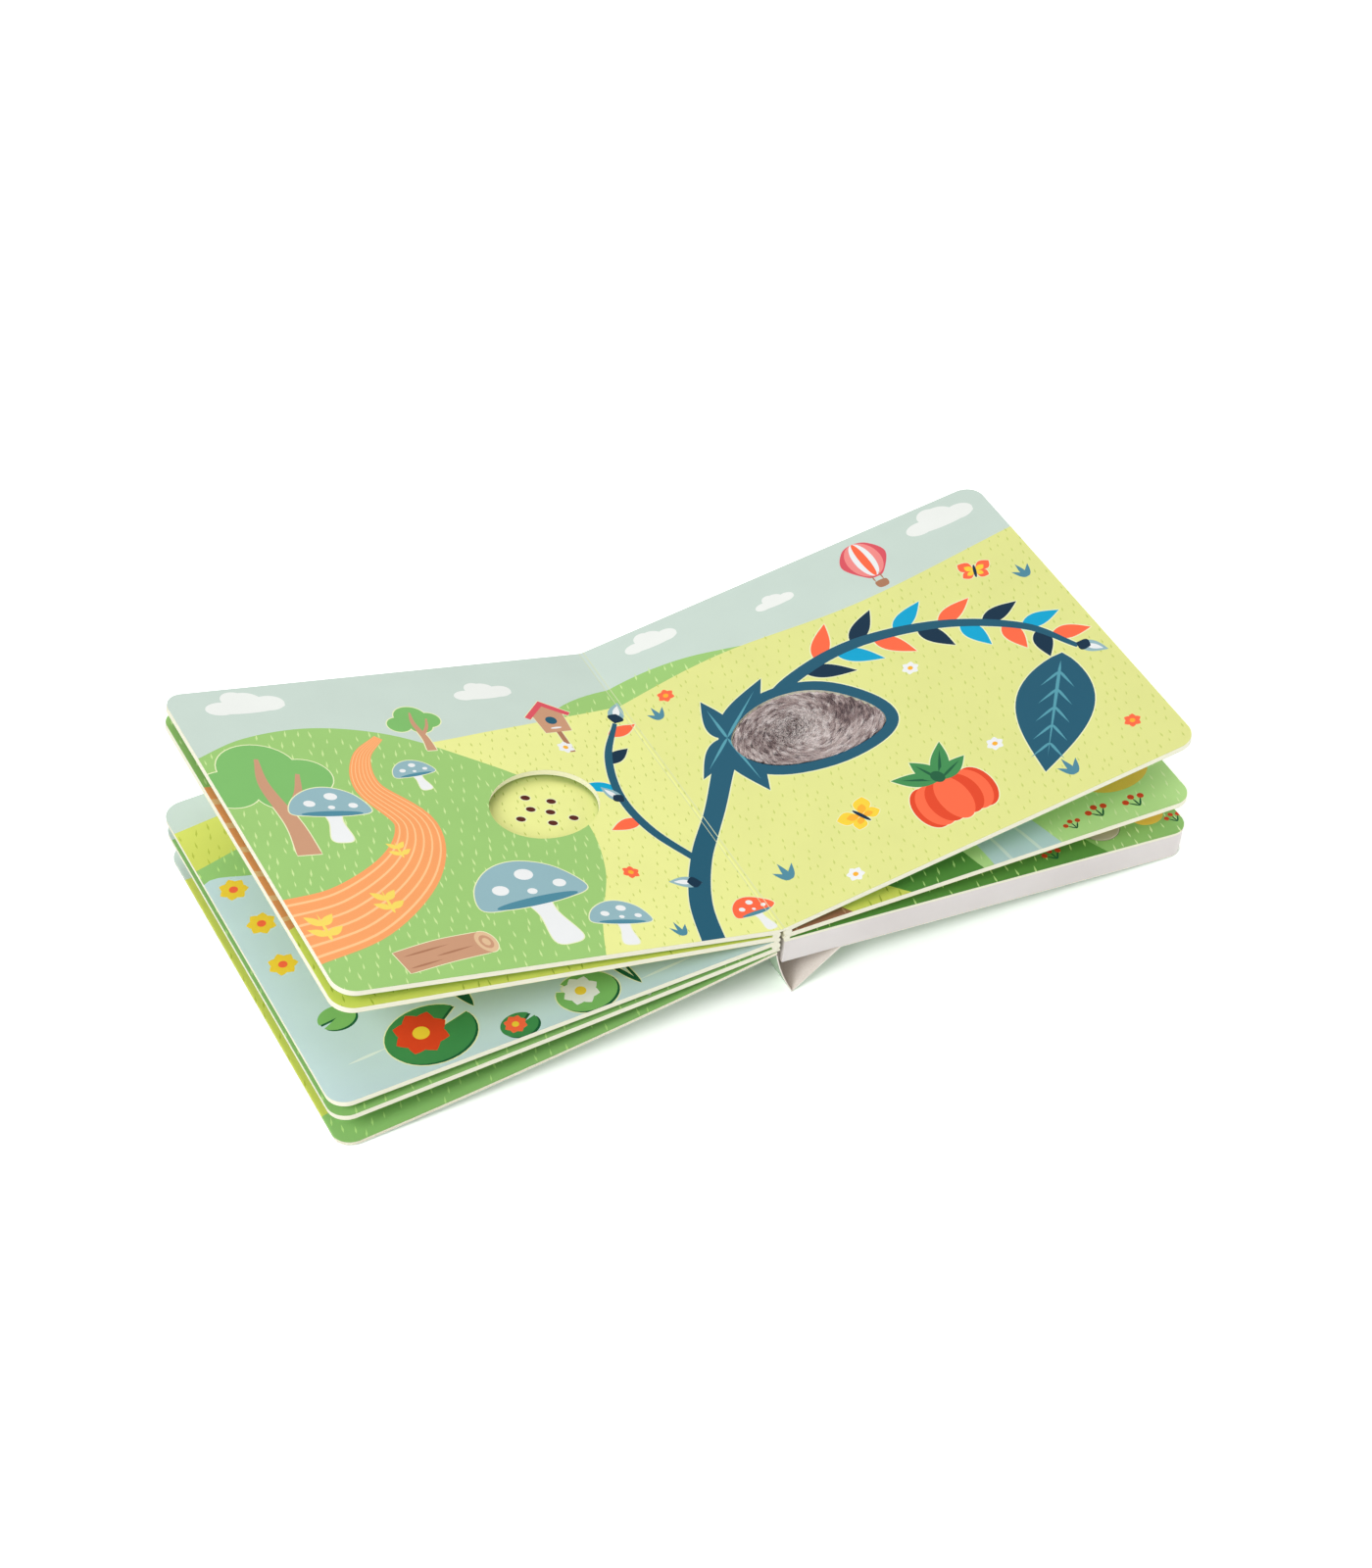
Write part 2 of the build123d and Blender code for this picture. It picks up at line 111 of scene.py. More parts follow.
def flat_faces(name, least_area):
    """Flat faces of a node as dictionaries of plane, side of the gutter and outline.

    Page coordinates run across the page from the gutter (x) and along the spine (y). The x
    direction is the spine's direction crossed with the normal, so art is seen from outside.
    """
    triangles = triangles_of(name)
    normals, areas = normals_of(triangles)
    left = np.ones(len(triangles), bool)
    faces = []
    while (areas * left).max() > least_area * largest_triangle_share:
        seed = int((areas * left).argmax())
        normal = normals[seed]
        level = triangles[seed, 0] @ normal
        near = np.abs(triangles @ normal - level).max(1) < same_plane
        member = left & near & ((normals @ normal > 0.9) | (areas < sliver_area))
        left &= ~member
        if areas[member].sum() < least_area:
            continue
        across = np.cross((0, 1, 0), normal)
        across /= np.linalg.norm(across)
        x = triangles[member] @ across
        side = np.sign(x.mean())
        shift = side * (page_width - np.abs(x).max())
        flat = np.stack([x + shift, triangles[member][..., 1]], -1)
        foot = level * normal - shift * across
        faces.append({"normal": normal, "across": across, "foot": foot, "side": side,
                      "edges": outline_edges(flat), "height": triangles[member][..., 2].max()})
    return faces


page_faces = flat_faces("board_pages", least_page_area)
print("flat page faces:", len(page_faces))

# %% [markdown]
# The faces are told apart by where they lie: left or right of the gutter, looking up or down,
# and their order from the top of the fan to the bottom.

# %% Name the faces


def ordered(on_left, looks_up):
    """Faces on one side that look one way, from the top of the fan down."""
    found = [f for f in page_faces
             if (f["normal"][2] > 0) == looks_up and (f["side"] * f["across"][0] < 0) == on_left]
    return sorted(found, key=lambda f: -f["height"])


left_pages, left_backs = ordered(True, True), ordered(True, False)
right_pages, right_backs = ordered(False, True), ordered(False, False)
print("left pages and backs:", len(left_pages), len(left_backs))
print("right pages and backs:", len(right_pages), len(right_backs))

# %% [markdown]
# The outline of a hole is the part of a face's edges that lies well inside the page. It places
# the seeds under the finger hole, the bud round the fur window and the fur itself.

# %% Holes of the faces
hole_margin, hole_reach = 10.0, 93.0


def hole_edges(face):
    """Edges of a face that lie at least a few millimetres inside the page's own outline."""
    across, along = np.abs(face["edges"].mean(1)).T
    in_hole = (across > hole_margin) & (across < page_width - hole_margin) & (along < hole_reach)
    return face["edges"][in_hole]


finger_hole = hole_edges(left_pages[0])
fur_window = hole_edges(right_pages[0])
hole_x, hole_y = finger_hole.reshape(-1, 2).mean(0)
window_low, window_high = fur_window.reshape(-1, 2).min(0), fur_window.reshape(-1, 2).max(0)
print("finger hole centre", round(hole_x, 1), round(hole_y, 1), "window", window_low, window_high)

# %% [markdown]
# ## Drawing tools
#
# The print is flat colour, so every mark is a closed outline with an ink. A few outline makers
# are enough: an oval, a leaf, a smooth closed shape and a ribbon along a smooth path. Each works
# on whole arrays. Angles are in degrees and lengths in millimetres on the page.

# %% Outline makers
smooth_steps = 8


def turned(points, turn, x=0.0, y=0.0):
    """Rotates points by turn about the origin, then moves them by x, y."""
    c, s = cos(radians(turn)), sin(radians(turn))
    return points @ np.array([[c, s], [-s, c]]) + (x, y)


def ahead(x, y, turn, distance):
    """Point at a distance from x, y in the direction of turn."""
    return turned(np.array([[distance, 0.0]]), turn, x, y)[0]


def oval(x, y, width, height, turn=0.0, points=36):
    """Ellipse: cosine and sine of an even angle, scaled by half the width and half the height."""
    angle = np.linspace(0, 2 * pi, points, endpoint=False)
    return turned(np.stack([np.cos(angle) * width / 2, np.sin(angle) * height / 2], 1), turn, x, y)


def leaf(x, y, length, width, turn, fullness=0.8, points=14):
    """Leaf from its base at x, y: half its width follows sin(pi t^fullness) along its length."""
    t = np.linspace(0, 1, points)
    half = width / 2 * np.sin(pi * t ** fullness)
    top = np.stack([t * length, half], 1)
    low = np.stack([t * length, -half], 1)[-2:0:-1]
    return turned(np.concatenate([low[::-1], top[::-1]]), turn, x, y)


def smooth(points, closed=True):
    """Catmull-Rom curve: a cubic through the points, with slopes from each point's neighbours."""
    p = np.array(points, float)
    t = np.linspace(0, 1, smooth_steps, endpoint=False)[None, :, None]
    if closed:
        before, here, after, beyond = np.roll(p, 1, 0), p, np.roll(p, -1, 0), np.roll(p, -2, 0)
    else:
        padded = np.concatenate([[2 * p[0] - p[1]], p, [2 * p[-1] - p[-2]]])
        before, here, after, beyond = padded[:-3], padded[1:-2], padded[2:-1], padded[3:]
    before, here, after, beyond = (a[:, None, :] for a in (before, here, after, beyond))
    curve = here + t / 2 * (after - before) + t ** 2 * (before - 2.5 * here + 2 * after - beyond / 2)
    curve = curve + t ** 3 / 2 * (3 * here - before - 3 * after + beyond)
    curve = curve.reshape(-1, p.shape[1])
    return curve if closed else np.concatenate([curve, p[-1:]])


def sides(curve):
    """Unit vectors square to a curve, turned left from its direction."""
    along = np.gradient(curve, axis=0)
    along /= np.maximum(np.linalg.norm(along, axis=1), 1e-9)[:, None]
    return np.stack([-along[:, 1], along[:, 0]], 1)


def ribbon(points, shift=0.0):
    """Middle line, side vectors and half widths of a band along a smooth path.

    Each point of the path is x, y, width; shift moves the band sideways by a share of its width.
    """
    curve = smooth(points, closed=False)
    middle, half = curve[:, :2], curve[:, 2:] / 2
    out = sides(middle)
    middle = middle + out * half * 2 * shift
    return middle, out, half


def stroke(points):
    """Outline of a ribbon: its left side and then its right side backwards."""
    middle, out, half = ribbon(points)
    return np.concatenate([middle + out * half, (middle - out * half)[::-1]])


def stripe(points, shift, share):
    """Thin band inside a ribbon, share of its width, shifted sideways by a share of its width."""
    middle, out, half = ribbon(points, shift)
    return np.concatenate([middle + out * half * share, (middle - out * half * share)[::-1]])


def grown(outline, by):
    """Outline moved outwards by a distance, along the normals of its closed curve."""
    ring = np.concatenate([outline[-1:], outline, outline[:1]])
    along = ring[2:] - ring[:-2]
    along /= np.maximum(np.linalg.norm(along, axis=1), 1e-9)[:, None]
    area = (outline[:, 0] * np.roll(outline[:, 1], -1) - outline[:, 1] * np.roll(outline[:, 0], -1)).sum()
    return outline + np.sign(area) * by * np.stack([along[:, 1], -along[:, 0]], 1)


print("an oval has", len(oval(0, 0, 10, 6)), "points and a leaf", len(leaf(0, 0, 10, 4, 0)))

# %% [markdown]
# ## Inks
#
# The inks are named by what they colour. A few are lighter copies of another ink, painted light
# for pages that lie in the shade of the leaves above. They are written as the 0 to 255 numbers
# that a printer's proof shows, and turned into the linear light that the renderer works in.

# %% Ink colours
inks = {
    "sky": (203, 219, 209), "cloud": (240, 243, 238), "hill": (159, 204, 119),
    "hill_tick": (204, 232, 156), "meadow": (227, 230, 146), "meadow_tick": (201, 211, 112),
    "path": (250, 165, 103), "path_stripe": (254, 201, 144), "sprout": (248, 220, 100),
    "halo": (238, 242, 196), "crease": (214, 221, 178), "teal": (30, 89, 112),
    "teal_light": (86, 158, 174), "navy": (0, 42, 66), "cyan": (0, 166, 210),
    "coral": (255, 108, 70), "brown": (204, 154, 122), "brown_dark": (174, 122, 92),
    "slate": (148, 184, 192), "slate_dark": (78, 138, 158), "pale": (240, 242, 242),
    "yellow": (248, 212, 62), "amber": (250, 180, 52), "red": (228, 72, 38),
    "green": (66, 142, 82), "green_dark": (28, 94, 60), "grove": (128, 190, 108),
    "pink": (244, 142, 138), "rose": (222, 86, 98),
    "pond": (200, 225, 232), "ripple": (228, 242, 240), "seed": (84, 30, 18),
    "bank": (154, 204, 122), "bank_tick": (196, 234, 146), "wood": (228, 192, 152),
    # The lighter meadow, straw, bank, bank tick and amber inks below are painted light: lighter copies for
    # pages in the shade of the leaves above.
    "straw": (217, 224, 104), "straw_tick": (190, 201, 76), "meadow_painted_light": (238, 241, 154),
    "bank_painted_light": (198, 235, 156), "bank_painted_light_tick": (224, 246, 186), "amber_painted_light": (255, 208, 88),
    "lime": (236, 240, 112), "bank_dark": (98, 158, 74),
}


def linear(colour):
    """Linear light of an 0 to 255 colour, by the sRGB curve."""
    share = np.array(colour, float) / 255
    return np.where(share < 0.04045, share / 12.92, ((share + 0.055) / 1.055) ** 2.4)


ink_names = list(inks)
ink_light = np.array([np.append(linear(c), 1.0) for c in inks.values()])
print(len(ink_names), "inks")

# %% [markdown]
# ## Motifs
#
# A motif is a list of (ink, outline) marks, laid down in order like layers of paint. The scene is
# a garden in spring: a long branch with furry catkins, toadstools, a striped path, a balloon, a
# pumpkin and butterflies. Dark marks get a thin pale line round them, as print has where two inks
# would otherwise have to meet exactly.

# %% Small plants and tufts


def haloed(marks, by=0.5):
    """The same marks with a pale line of one width round them all."""
    return [("halo", grown(outline, by)) for _, outline in marks] + marks


def tuft(x, y, size):
    """Three blades of grass from one root."""
    return [("slate_dark", leaf(x, y, size * k, size * 0.26, turn, 0.6)) for k, turn in
            ((0.8, 128), (1.0, 96), (0.85, 62))]


def flower(x, y, size, petal, centre, petals=6, turn=0.0):
    """Ring of leaf-shaped petals round an oval centre."""
    angles = turn + np.arange(petals) * 360 / petals
    marks = [(petal, leaf(x, y, size / 2, size * 0.36, a, 1.25)) for a in angles]
    return marks + [(centre, oval(x, y, size * 0.3, size * 0.3, points=20))]


def sprout(x, y, size):
    """Seedling: a short stem with two pairs of leaves."""
    marks = [("sprout", leaf(x, y - size / 2, size, size * 0.1, 90, 0.5))]
    for rise, turns in ((-0.3, (150, 30)), (0.05, (135, 45))):
        marks += [("sprout", leaf(x, y + size * rise, size * 0.52, size * 0.24, t)) for t in turns]
    return marks


def berries(x, y, size):
    """Three round berries on short stalks."""
    turns = (60, 100, 140)
    marks = [("green_dark", leaf(x, y, size * 0.7, size * 0.1, turn, 0.7)) for turn in turns]
    ends = [ahead(x, y, turn, size * 0.72) for turn in turns]
    return marks + [("red", oval(*end, size * 0.34, size * 0.34, points=20)) for end in ends]


print("a flower has", len(flower(0, 0, 10, "pale", "yellow")), "marks")

# %% [markdown]
# The larger motifs are put together from the same few outlines. Their points are shares of the
# motif's size, so one drawing serves at any size and place.

# %% Larger motifs


def cloud(x, y, size):
    """Overlapping ovals on a level base."""
    parts = [(-0.34, 0.0, 0.42, 0.26), (0.0, 0.07, 0.5, 0.42), (0.3, 0.02, 0.42, 0.3),
             (-0.12, 0.16, 0.34, 0.3), (0.02, -0.04, 0.96, 0.2)]
    return [("cloud", oval(x + a * size, y + b * size, w * size, h * size)) for a, b, w, h in parts]


def toadstool(x, y, size, turn=0.0, cap="slate"):
    """Bent stem under a domed cap with a darker underside and pale spots."""
    stem = np.array([(-0.13, -0.52), (0.0, -0.58), (0.14, -0.52), (0.09, -0.2), (0.11, 0.06),
                     (-0.11, 0.06), (-0.08, -0.2)])
    dome = np.array([(-0.52, 0.0), (-0.44, 0.25), (-0.2, 0.44), (0.08, 0.47), (0.36, 0.32),
                     (0.51, 0.02), (0.3, -0.06), (0.0, -0.02), (-0.3, -0.06)])
    marks = [("pale", smooth(turned(stem * size, turn, x, y))),
             (cap, smooth(turned(dome * size, turn, x, y)))]
    rim = oval(0, -0.03 * size, 0.78 * size, 0.1 * size)
    marks.append(("slate_dark", turned(rim, turn, x, y)))
    for a, b, w in ((-0.24, 0.17, 0.15), (0.06, 0.3, 0.17), (0.3, 0.12, 0.12), (0.02, 0.09, 0.09)):
        spot = oval(a * size, b * size, w * size, w * size * 0.8, points=20)
        marks.append(("pale", turned(spot, turn, x, y)))
    return marks


def balloon(x, y, size):
    """Hot-air balloon: a round envelope in gores, and its basket."""
    envelope = np.array([(-0.5, 0.0), (-0.3, 0.42), (0.0, 0.54), (0.3, 0.42), (0.5, 0.0),
                         (0.2, -0.5), (0.0, -0.58), (-0.2, -0.5)])
    basket = np.array([(-0.12, -0.72), (0.12, -0.72), (0.1, -0.9), (-0.1, -0.9)])
    marks = [("rose", smooth(envelope * size + (x, y)))]
    marks += [(ink, oval(x, y, size * w, size * 1.08)) for ink, w in
              (("pink", 0.72), ("pale", 0.42), ("coral", 0.18))]
    marks.append(("brown_dark", smooth(basket * size + (x, y))))
    return marks + [("brown_dark", leaf(x + k * size, y - size * 0.72, size * 0.26, size * 0.03, 90))
                    for k in (-0.1, 0.08)]


def pumpkin(x, y, size):
    """Overlapping ribs from the sides to the middle, with a stalk and curling leaves."""
    marks = []
    for ink, shift, width in (("red", 0.34, 0.42), ("coral", 0.26, 0.44), ("red", 0.13, 0.42)):
        marks += [(ink, oval(x + k * shift * size, y, width * size, size * 0.74)) for k in (-1, 1)]
    marks.append(("coral", oval(x, y, size * 0.4, size * 0.8)))
    for turn, length in ((150, 0.62), (112, 0.5), (62, 0.66), (24, 0.5)):
        marks.append(("green", leaf(x, y + size * 0.36, size * length, size * 0.24, turn)))
        marks.append(("green_dark", leaf(x, y + size * 0.36, size * length * 0.8, size * 0.04, turn)))
    return marks + [("green_dark", oval(x, y + size * 0.42, size * 0.16, size * 0.22, 15))]


def butterfly(x, y, size, turn=0.0, wing="yellow", spot="amber"):
    """Two pairs of wings, each a leaf from the body with a spot, and the body."""
    marks = []
    for angle, length, width in ((38, 0.6, 0.42), (142, 0.6, 0.42), (-32, 0.46, 0.34), (212, 0.46, 0.34)):
        marks.append((wing, leaf(x, y, size * length, size * width, turn + angle, 1.3)))
        marks.append((spot, leaf(x, y, size * length * 0.62, size * width * 0.5, turn + angle, 1.3)))
    return marks + [("navy", oval(x, y, size * 0.1, size * 0.56, turn))]


def tree(x, y, size):
    """Trunk that splits in two under a crown of round heads."""
    trunk = np.array([(0.0, -0.62, 0.17), (0.02, -0.3, 0.12), (-0.02, 0.12, 0.08), (0.03, 0.4, 0.03)])
    bough = np.array([(0.0, -0.22, 0.07), (0.16, -0.02, 0.06), (0.25, 0.2, 0.03)])
    crown = [(0.0, 0.3, 0.56), (0.27, 0.16, 0.42), (-0.27, 0.12, 0.42), (0.08, 0.03, 0.4)]
    marks = [("grove", oval(x + a * size, y + b * size, w * size, w * size * 0.92)) for a, b, w in crown]
    return marks + [("brown", stroke(limb * size + (x, y, 0))) for limb in (trunk, bough)]


def birdhouse(x, y, size):
    """Small house with a round door, on a post."""
    post = np.array([(-0.05, -0.9), (0.05, -0.9), (0.05, 0.0), (-0.05, 0.0)])
    box = np.array([(-0.26, -0.3), (0.26, -0.3), (0.3, 0.24), (-0.3, 0.24)])
    roof = np.array([(-0.46, 0.2), (0.0, 0.62), (0.46, 0.2), (0.38, 0.12), (0.0, 0.46), (-0.38, 0.12)])
    gable = np.array([(-0.3, 0.22), (0.3, 0.22), (0.0, 0.5)])
    marks = [("brown_dark", post * size + (x, y)), ("brown", box * size + (x, y)),
             ("brown", gable * size + (x, y)), ("rose", roof * size + (x, y))]
    return marks + [("teal", oval(x, y + size * 0.04, size * 0.22, size * 0.22, points=20)),
                    ("pale", oval(x, y - size * 0.18, size * 0.22, size * 0.05, points=16))]


def log(x, y, size, turn=0.0):
    """Felled log: a barrel with bark lines and a cut end with rings."""
    body = [(-size * 0.46, 0, size * 0.3), (0, size * 0.02, size * 0.31), (size * 0.44, 0, size * 0.29)]
    marks = [("brown", turned(stroke(body), turn, x, y))]
    for shift, start, length in ((0.07, -0.4, 0.5), (-0.02, -0.1, 0.42), (-0.09, -0.42, 0.36)):
        grain = leaf(start * size, shift * size, length * size, size * 0.025, 2)
        marks.append(("brown_dark", turned(grain, turn, x, y)))
    for ink, width in (("wood", 0.22), ("brown", 0.14), ("wood", 0.08)):
        ring = oval(size * 0.45, 0, size * width * 0.9, size * width * 1.32, points=24)
        marks.append((ink, turned(ring, turn, x, y)))
    return marks


def lily_pad(x, y, size, flower_ink=None, ink="green", notch=30.0):
    """Round pad with a notch: an open ring of points closed through its middle."""
    angle = np.radians(np.linspace(notch + 12, notch + 348, 34))
    ring = np.stack([np.cos(angle) * size / 2, np.sin(angle) * size / 2 * 0.82], 1)
    pad = np.concatenate([ring, [[0.0, 0.0]]]) + (x, y)
    marks = [("green_dark", pad + (0.6, -1.0)), (ink, pad)]
    if flower_ink:
        marks += flower(x - size * 0.08, y + size * 0.06, size * 0.62, flower_ink, "yellow", 8, 10)
    return marks


def reed(x, y, size, lean=0.0):
    """Tall stem with a seed head and one long leaf."""
    stem = leaf(x, y, size, size * 0.05, 90 + lean, 0.5)
    tip = ahead(x, y, 90 + lean, size * 0.86)
    return [("green_dark", leaf(x, y, size * 0.8, size * 0.08, 108 + lean)), ("green_dark", stem),
            ("brown_dark", oval(*tip, size * 0.34, size * 0.1, 90 + lean, 20))]


print("a toadstool has", len(toadstool(0, 0, 10)), "marks")

# %% [markdown]
# ## Grass ticks
#
# All the grounds carry the same fine texture: short slanted ticks in a tone a little lighter or
# darker than the ground. They stand on a loose grid, each moved a little by a seeded random
# number, and only where the ground is. To ask whether a point lies inside an outline, we count
# how often a level line from it crosses the outline: an odd count is inside.

# %% Inside test and ticks
tick_jitter, tick_reach = 0.26, 95.5
tick_slant, tick_swing = 80.0, 10.0
short_ticks = {"pitch": 5.6, "length": 2.7, "width": 0.75}


def inside(points, edges):
    """True for each point whose level line to the right crosses the edges an odd number of times."""
    start, end = edges[:, 0], edges[:, 1]
    px, py = points[:, :1], points[:, 1:]
    spans = (start[:, 1] > py) != (end[:, 1] > py)
    drop = np.where(start[:, 1] == end[:, 1], 1e-9, end[:, 1] - start[:, 1])
    crossing = start[:, 0] + (py - start[:, 1]) / drop * (end[:, 0] - start[:, 0])
    return ((spans & (px < crossing)).sum(1) % 2) == 1


def edges_of(outline):
    """Edges of a closed outline as pairs of points."""
    return np.stack([outline, np.roll(outline, -1, 0)], 1)


def ticks(ground, ink, seed, pitch=6.6, length=4.6, width=0.9):
    """Slanted ticks, each a slim diamond, scattered over the inside of a ground's outline."""
    random = np.random.default_rng(seed)
    low, high = ground.min(0), ground.max(0)
    columns, rows = np.ceil((high - low) / pitch).astype(int)
    grid = np.stack(np.meshgrid(np.arange(columns), np.arange(rows)), -1).reshape(-1, 2) + 0.5
    grid = grid + np.stack([(grid[:, 1] % 2) * 0.5, np.zeros(len(grid))], 1)
    centres = low + (grid + random.uniform(-tick_jitter, tick_jitter, grid.shape)) * pitch
    turns = tick_slant + random.uniform(-tick_swing, tick_swing, len(centres))
    sizes = random.uniform(0.8, 1.15, len(centres))
    keep = inside(centres, edges_of(ground)) & (np.abs(centres[:, 1]) < tick_reach)
    diamond = np.array([(-0.5, 0.0), (-0.12, -0.5), (0.5, 0.0), (-0.12, 0.5)]) * (length, width)
    return [(ink, turned(diamond * size, turn, *centre))
            for centre, turn, size in zip(centres[keep], turns[keep], sizes[keep])]


print("ticks on a page:", len(ticks(oval(100, 0, 200, 190), "meadow_tick", 1)))

# %% [markdown]
# A ground is drawn a little past the page, whose own outline cuts it later. It has a smooth crest
# and straight other sides, and whatever is laid down after it covers it.

# %% Grounds
page_reach, past_gutter, past_page = 203.0, 3.0, 99.0


def rectangle(start, end):
    """Outline from start to end across the spread, a little higher than the page."""
    return np.array([(start, -past_page), (end, -past_page), (end, past_page), (start, past_page)])


def field(ink, points, tick_ink, seed, **how):
    """A ground under a smooth crest, down to the page's near edge, and its ticks.

    The points of the crest run from left to right.
    """
    crest = smooth(points, closed=False)
    ground = np.concatenate([crest, [[crest[-1, 0], -past_page], [crest[0, 0], -past_page]]])
    return [(ink, ground)] + ticks(ground, tick_ink, seed, **how)


def striped_path(points):
    """Broad band with six fine stripes along it."""
    stripes = [("path_stripe", stripe(points, shift, 0.035)) for shift in np.linspace(-0.4, 0.4, 6)]
    return [("path", stroke(points))] + stripes


left_sky = ("sky", rectangle(-page_reach, past_gutter))
right_sky = ("sky", rectangle(-past_gutter, page_reach))
print("a meadow has", len(field("meadow", [(0, 60), (100, 66), (200, 62)], "meadow_tick", 1)) - 1, "ticks")

# %% [markdown]
# ## From marks to a printed sheet
#
# Stacking every mark as its own thin layer would leave hundreds of loose scraps. Instead each
# page is one sheet: all outlines are cut into one flat triangulation, and each triangle takes the
# ink of the last mark that covers its middle. The ink is stored on the mesh as a colour
# attribute, so one print material serves every page. The sheet lies 0.08 mm above its board.

# %% Build a sheet from marks
sheet_lift = 0.08
closest_points = 1e-4


def add_object(name, data):
    """Puts a mesh, a lamp or a camera into the scene as an object."""
    item = bpy.data.objects.new(name, data)
    bpy.context.scene.collection.objects.link(item)
    return item


def cut_flat(edges, marks, folds=()):
    """Triangulates the outline, the marks and the fold lines together, and inks the triangles."""
    face_low, face_high = edges.reshape(-1, 2).min(0), edges.reshape(-1, 2).max(0)
    marks = [(name, outline) for name, outline in marks
             if (outline.max(0) > face_low).all() and (outline.min(0) < face_high).all()]
    rings = [edges_of(outline) for _, outline in marks]
    lines = np.concatenate([edges, *rings, *folds])
    points, number = np.unique(np.round(lines.reshape(-1, 2), 4), axis=0, return_inverse=True)
    pairs = number.reshape(-1, 2)
    pairs = pairs[pairs[:, 0] != pairs[:, 1]]
    found = delaunay_2d_cdt([Vector(p) for p in points], pairs.tolist(), [], 0, closest_points)
    flat, corners = np.array([tuple(p) for p in found[0]]), np.array(found[2])
    middles = flat[corners].mean(1)
    kept = inside(middles, edges)
    corners, middles = corners[kept], middles[kept]
    ink = np.zeros(len(corners), int)
    for (name, outline), ring in zip(marks, rings):
        low, high = outline.min(0), outline.max(0)
        near = np.flatnonzero(((middles >= low) & (middles <= high)).all(1))
        ink[near[inside(middles[near], ring)]] = ink_names.index(name)
    return flat, corners, ink


def inked_mesh(name, places, corners, ink):
    """Mesh of the used points, in metres, with its ink as a colour on every corner."""
    used, corners = np.unique(corners, return_inverse=True)
    corners = corners.reshape(-1, 3)
    mesh = bpy.data.meshes.new(name)
    mesh.from_pydata((places[used] * mm).tolist(), [], corners.tolist())
    colour = mesh.color_attributes.new("ink", "FLOAT_COLOR", "CORNER")
    colour.data.foreach_set("color", np.repeat(ink_light[ink], 3, axis=0).ravel())
    mesh.update()
    return mesh


def lay_print(name, places, corners, ink, body):
    """Makes the inked mesh a piece of its own, on its body and in its material slot."""
    piece = add_object(name, inked_mesh(name, places, corners, ink))
    piece.data.materials.append(materials["print"])
    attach(piece, body)
    print(name, "triangles:", len(corners))


def print_on(name, face, marks):
    """Printed sheet on a flat face: foot + x across + y along the spine + the lift."""
    flat, corners, ink = cut_flat(face["edges"], marks)
    places = face["foot"] + flat[:, :1] * face["across"] + flat[:, 1:] * np.array([0, 1, 0])
    lay_print(name, places + face["normal"] * sheet_lift, corners, ink, "book")


print("sheet lift", sheet_lift, "mm")

# %% [markdown]
# ## Materials
#
# The book shows three kinds of surface: a board's printed side is smooth and a little glossy, its
# cut edge is pale, dry and streaked with paper layers, and the block's plastic is finely
# textured. A small helper adds a node and sets its sockets by name, so each recipe stays short to
# read. Patterns read Object coordinates, which are metres here, so a scale of 1000 gives marks of
# a millimetre.

# %% Node helpers
materials = {}


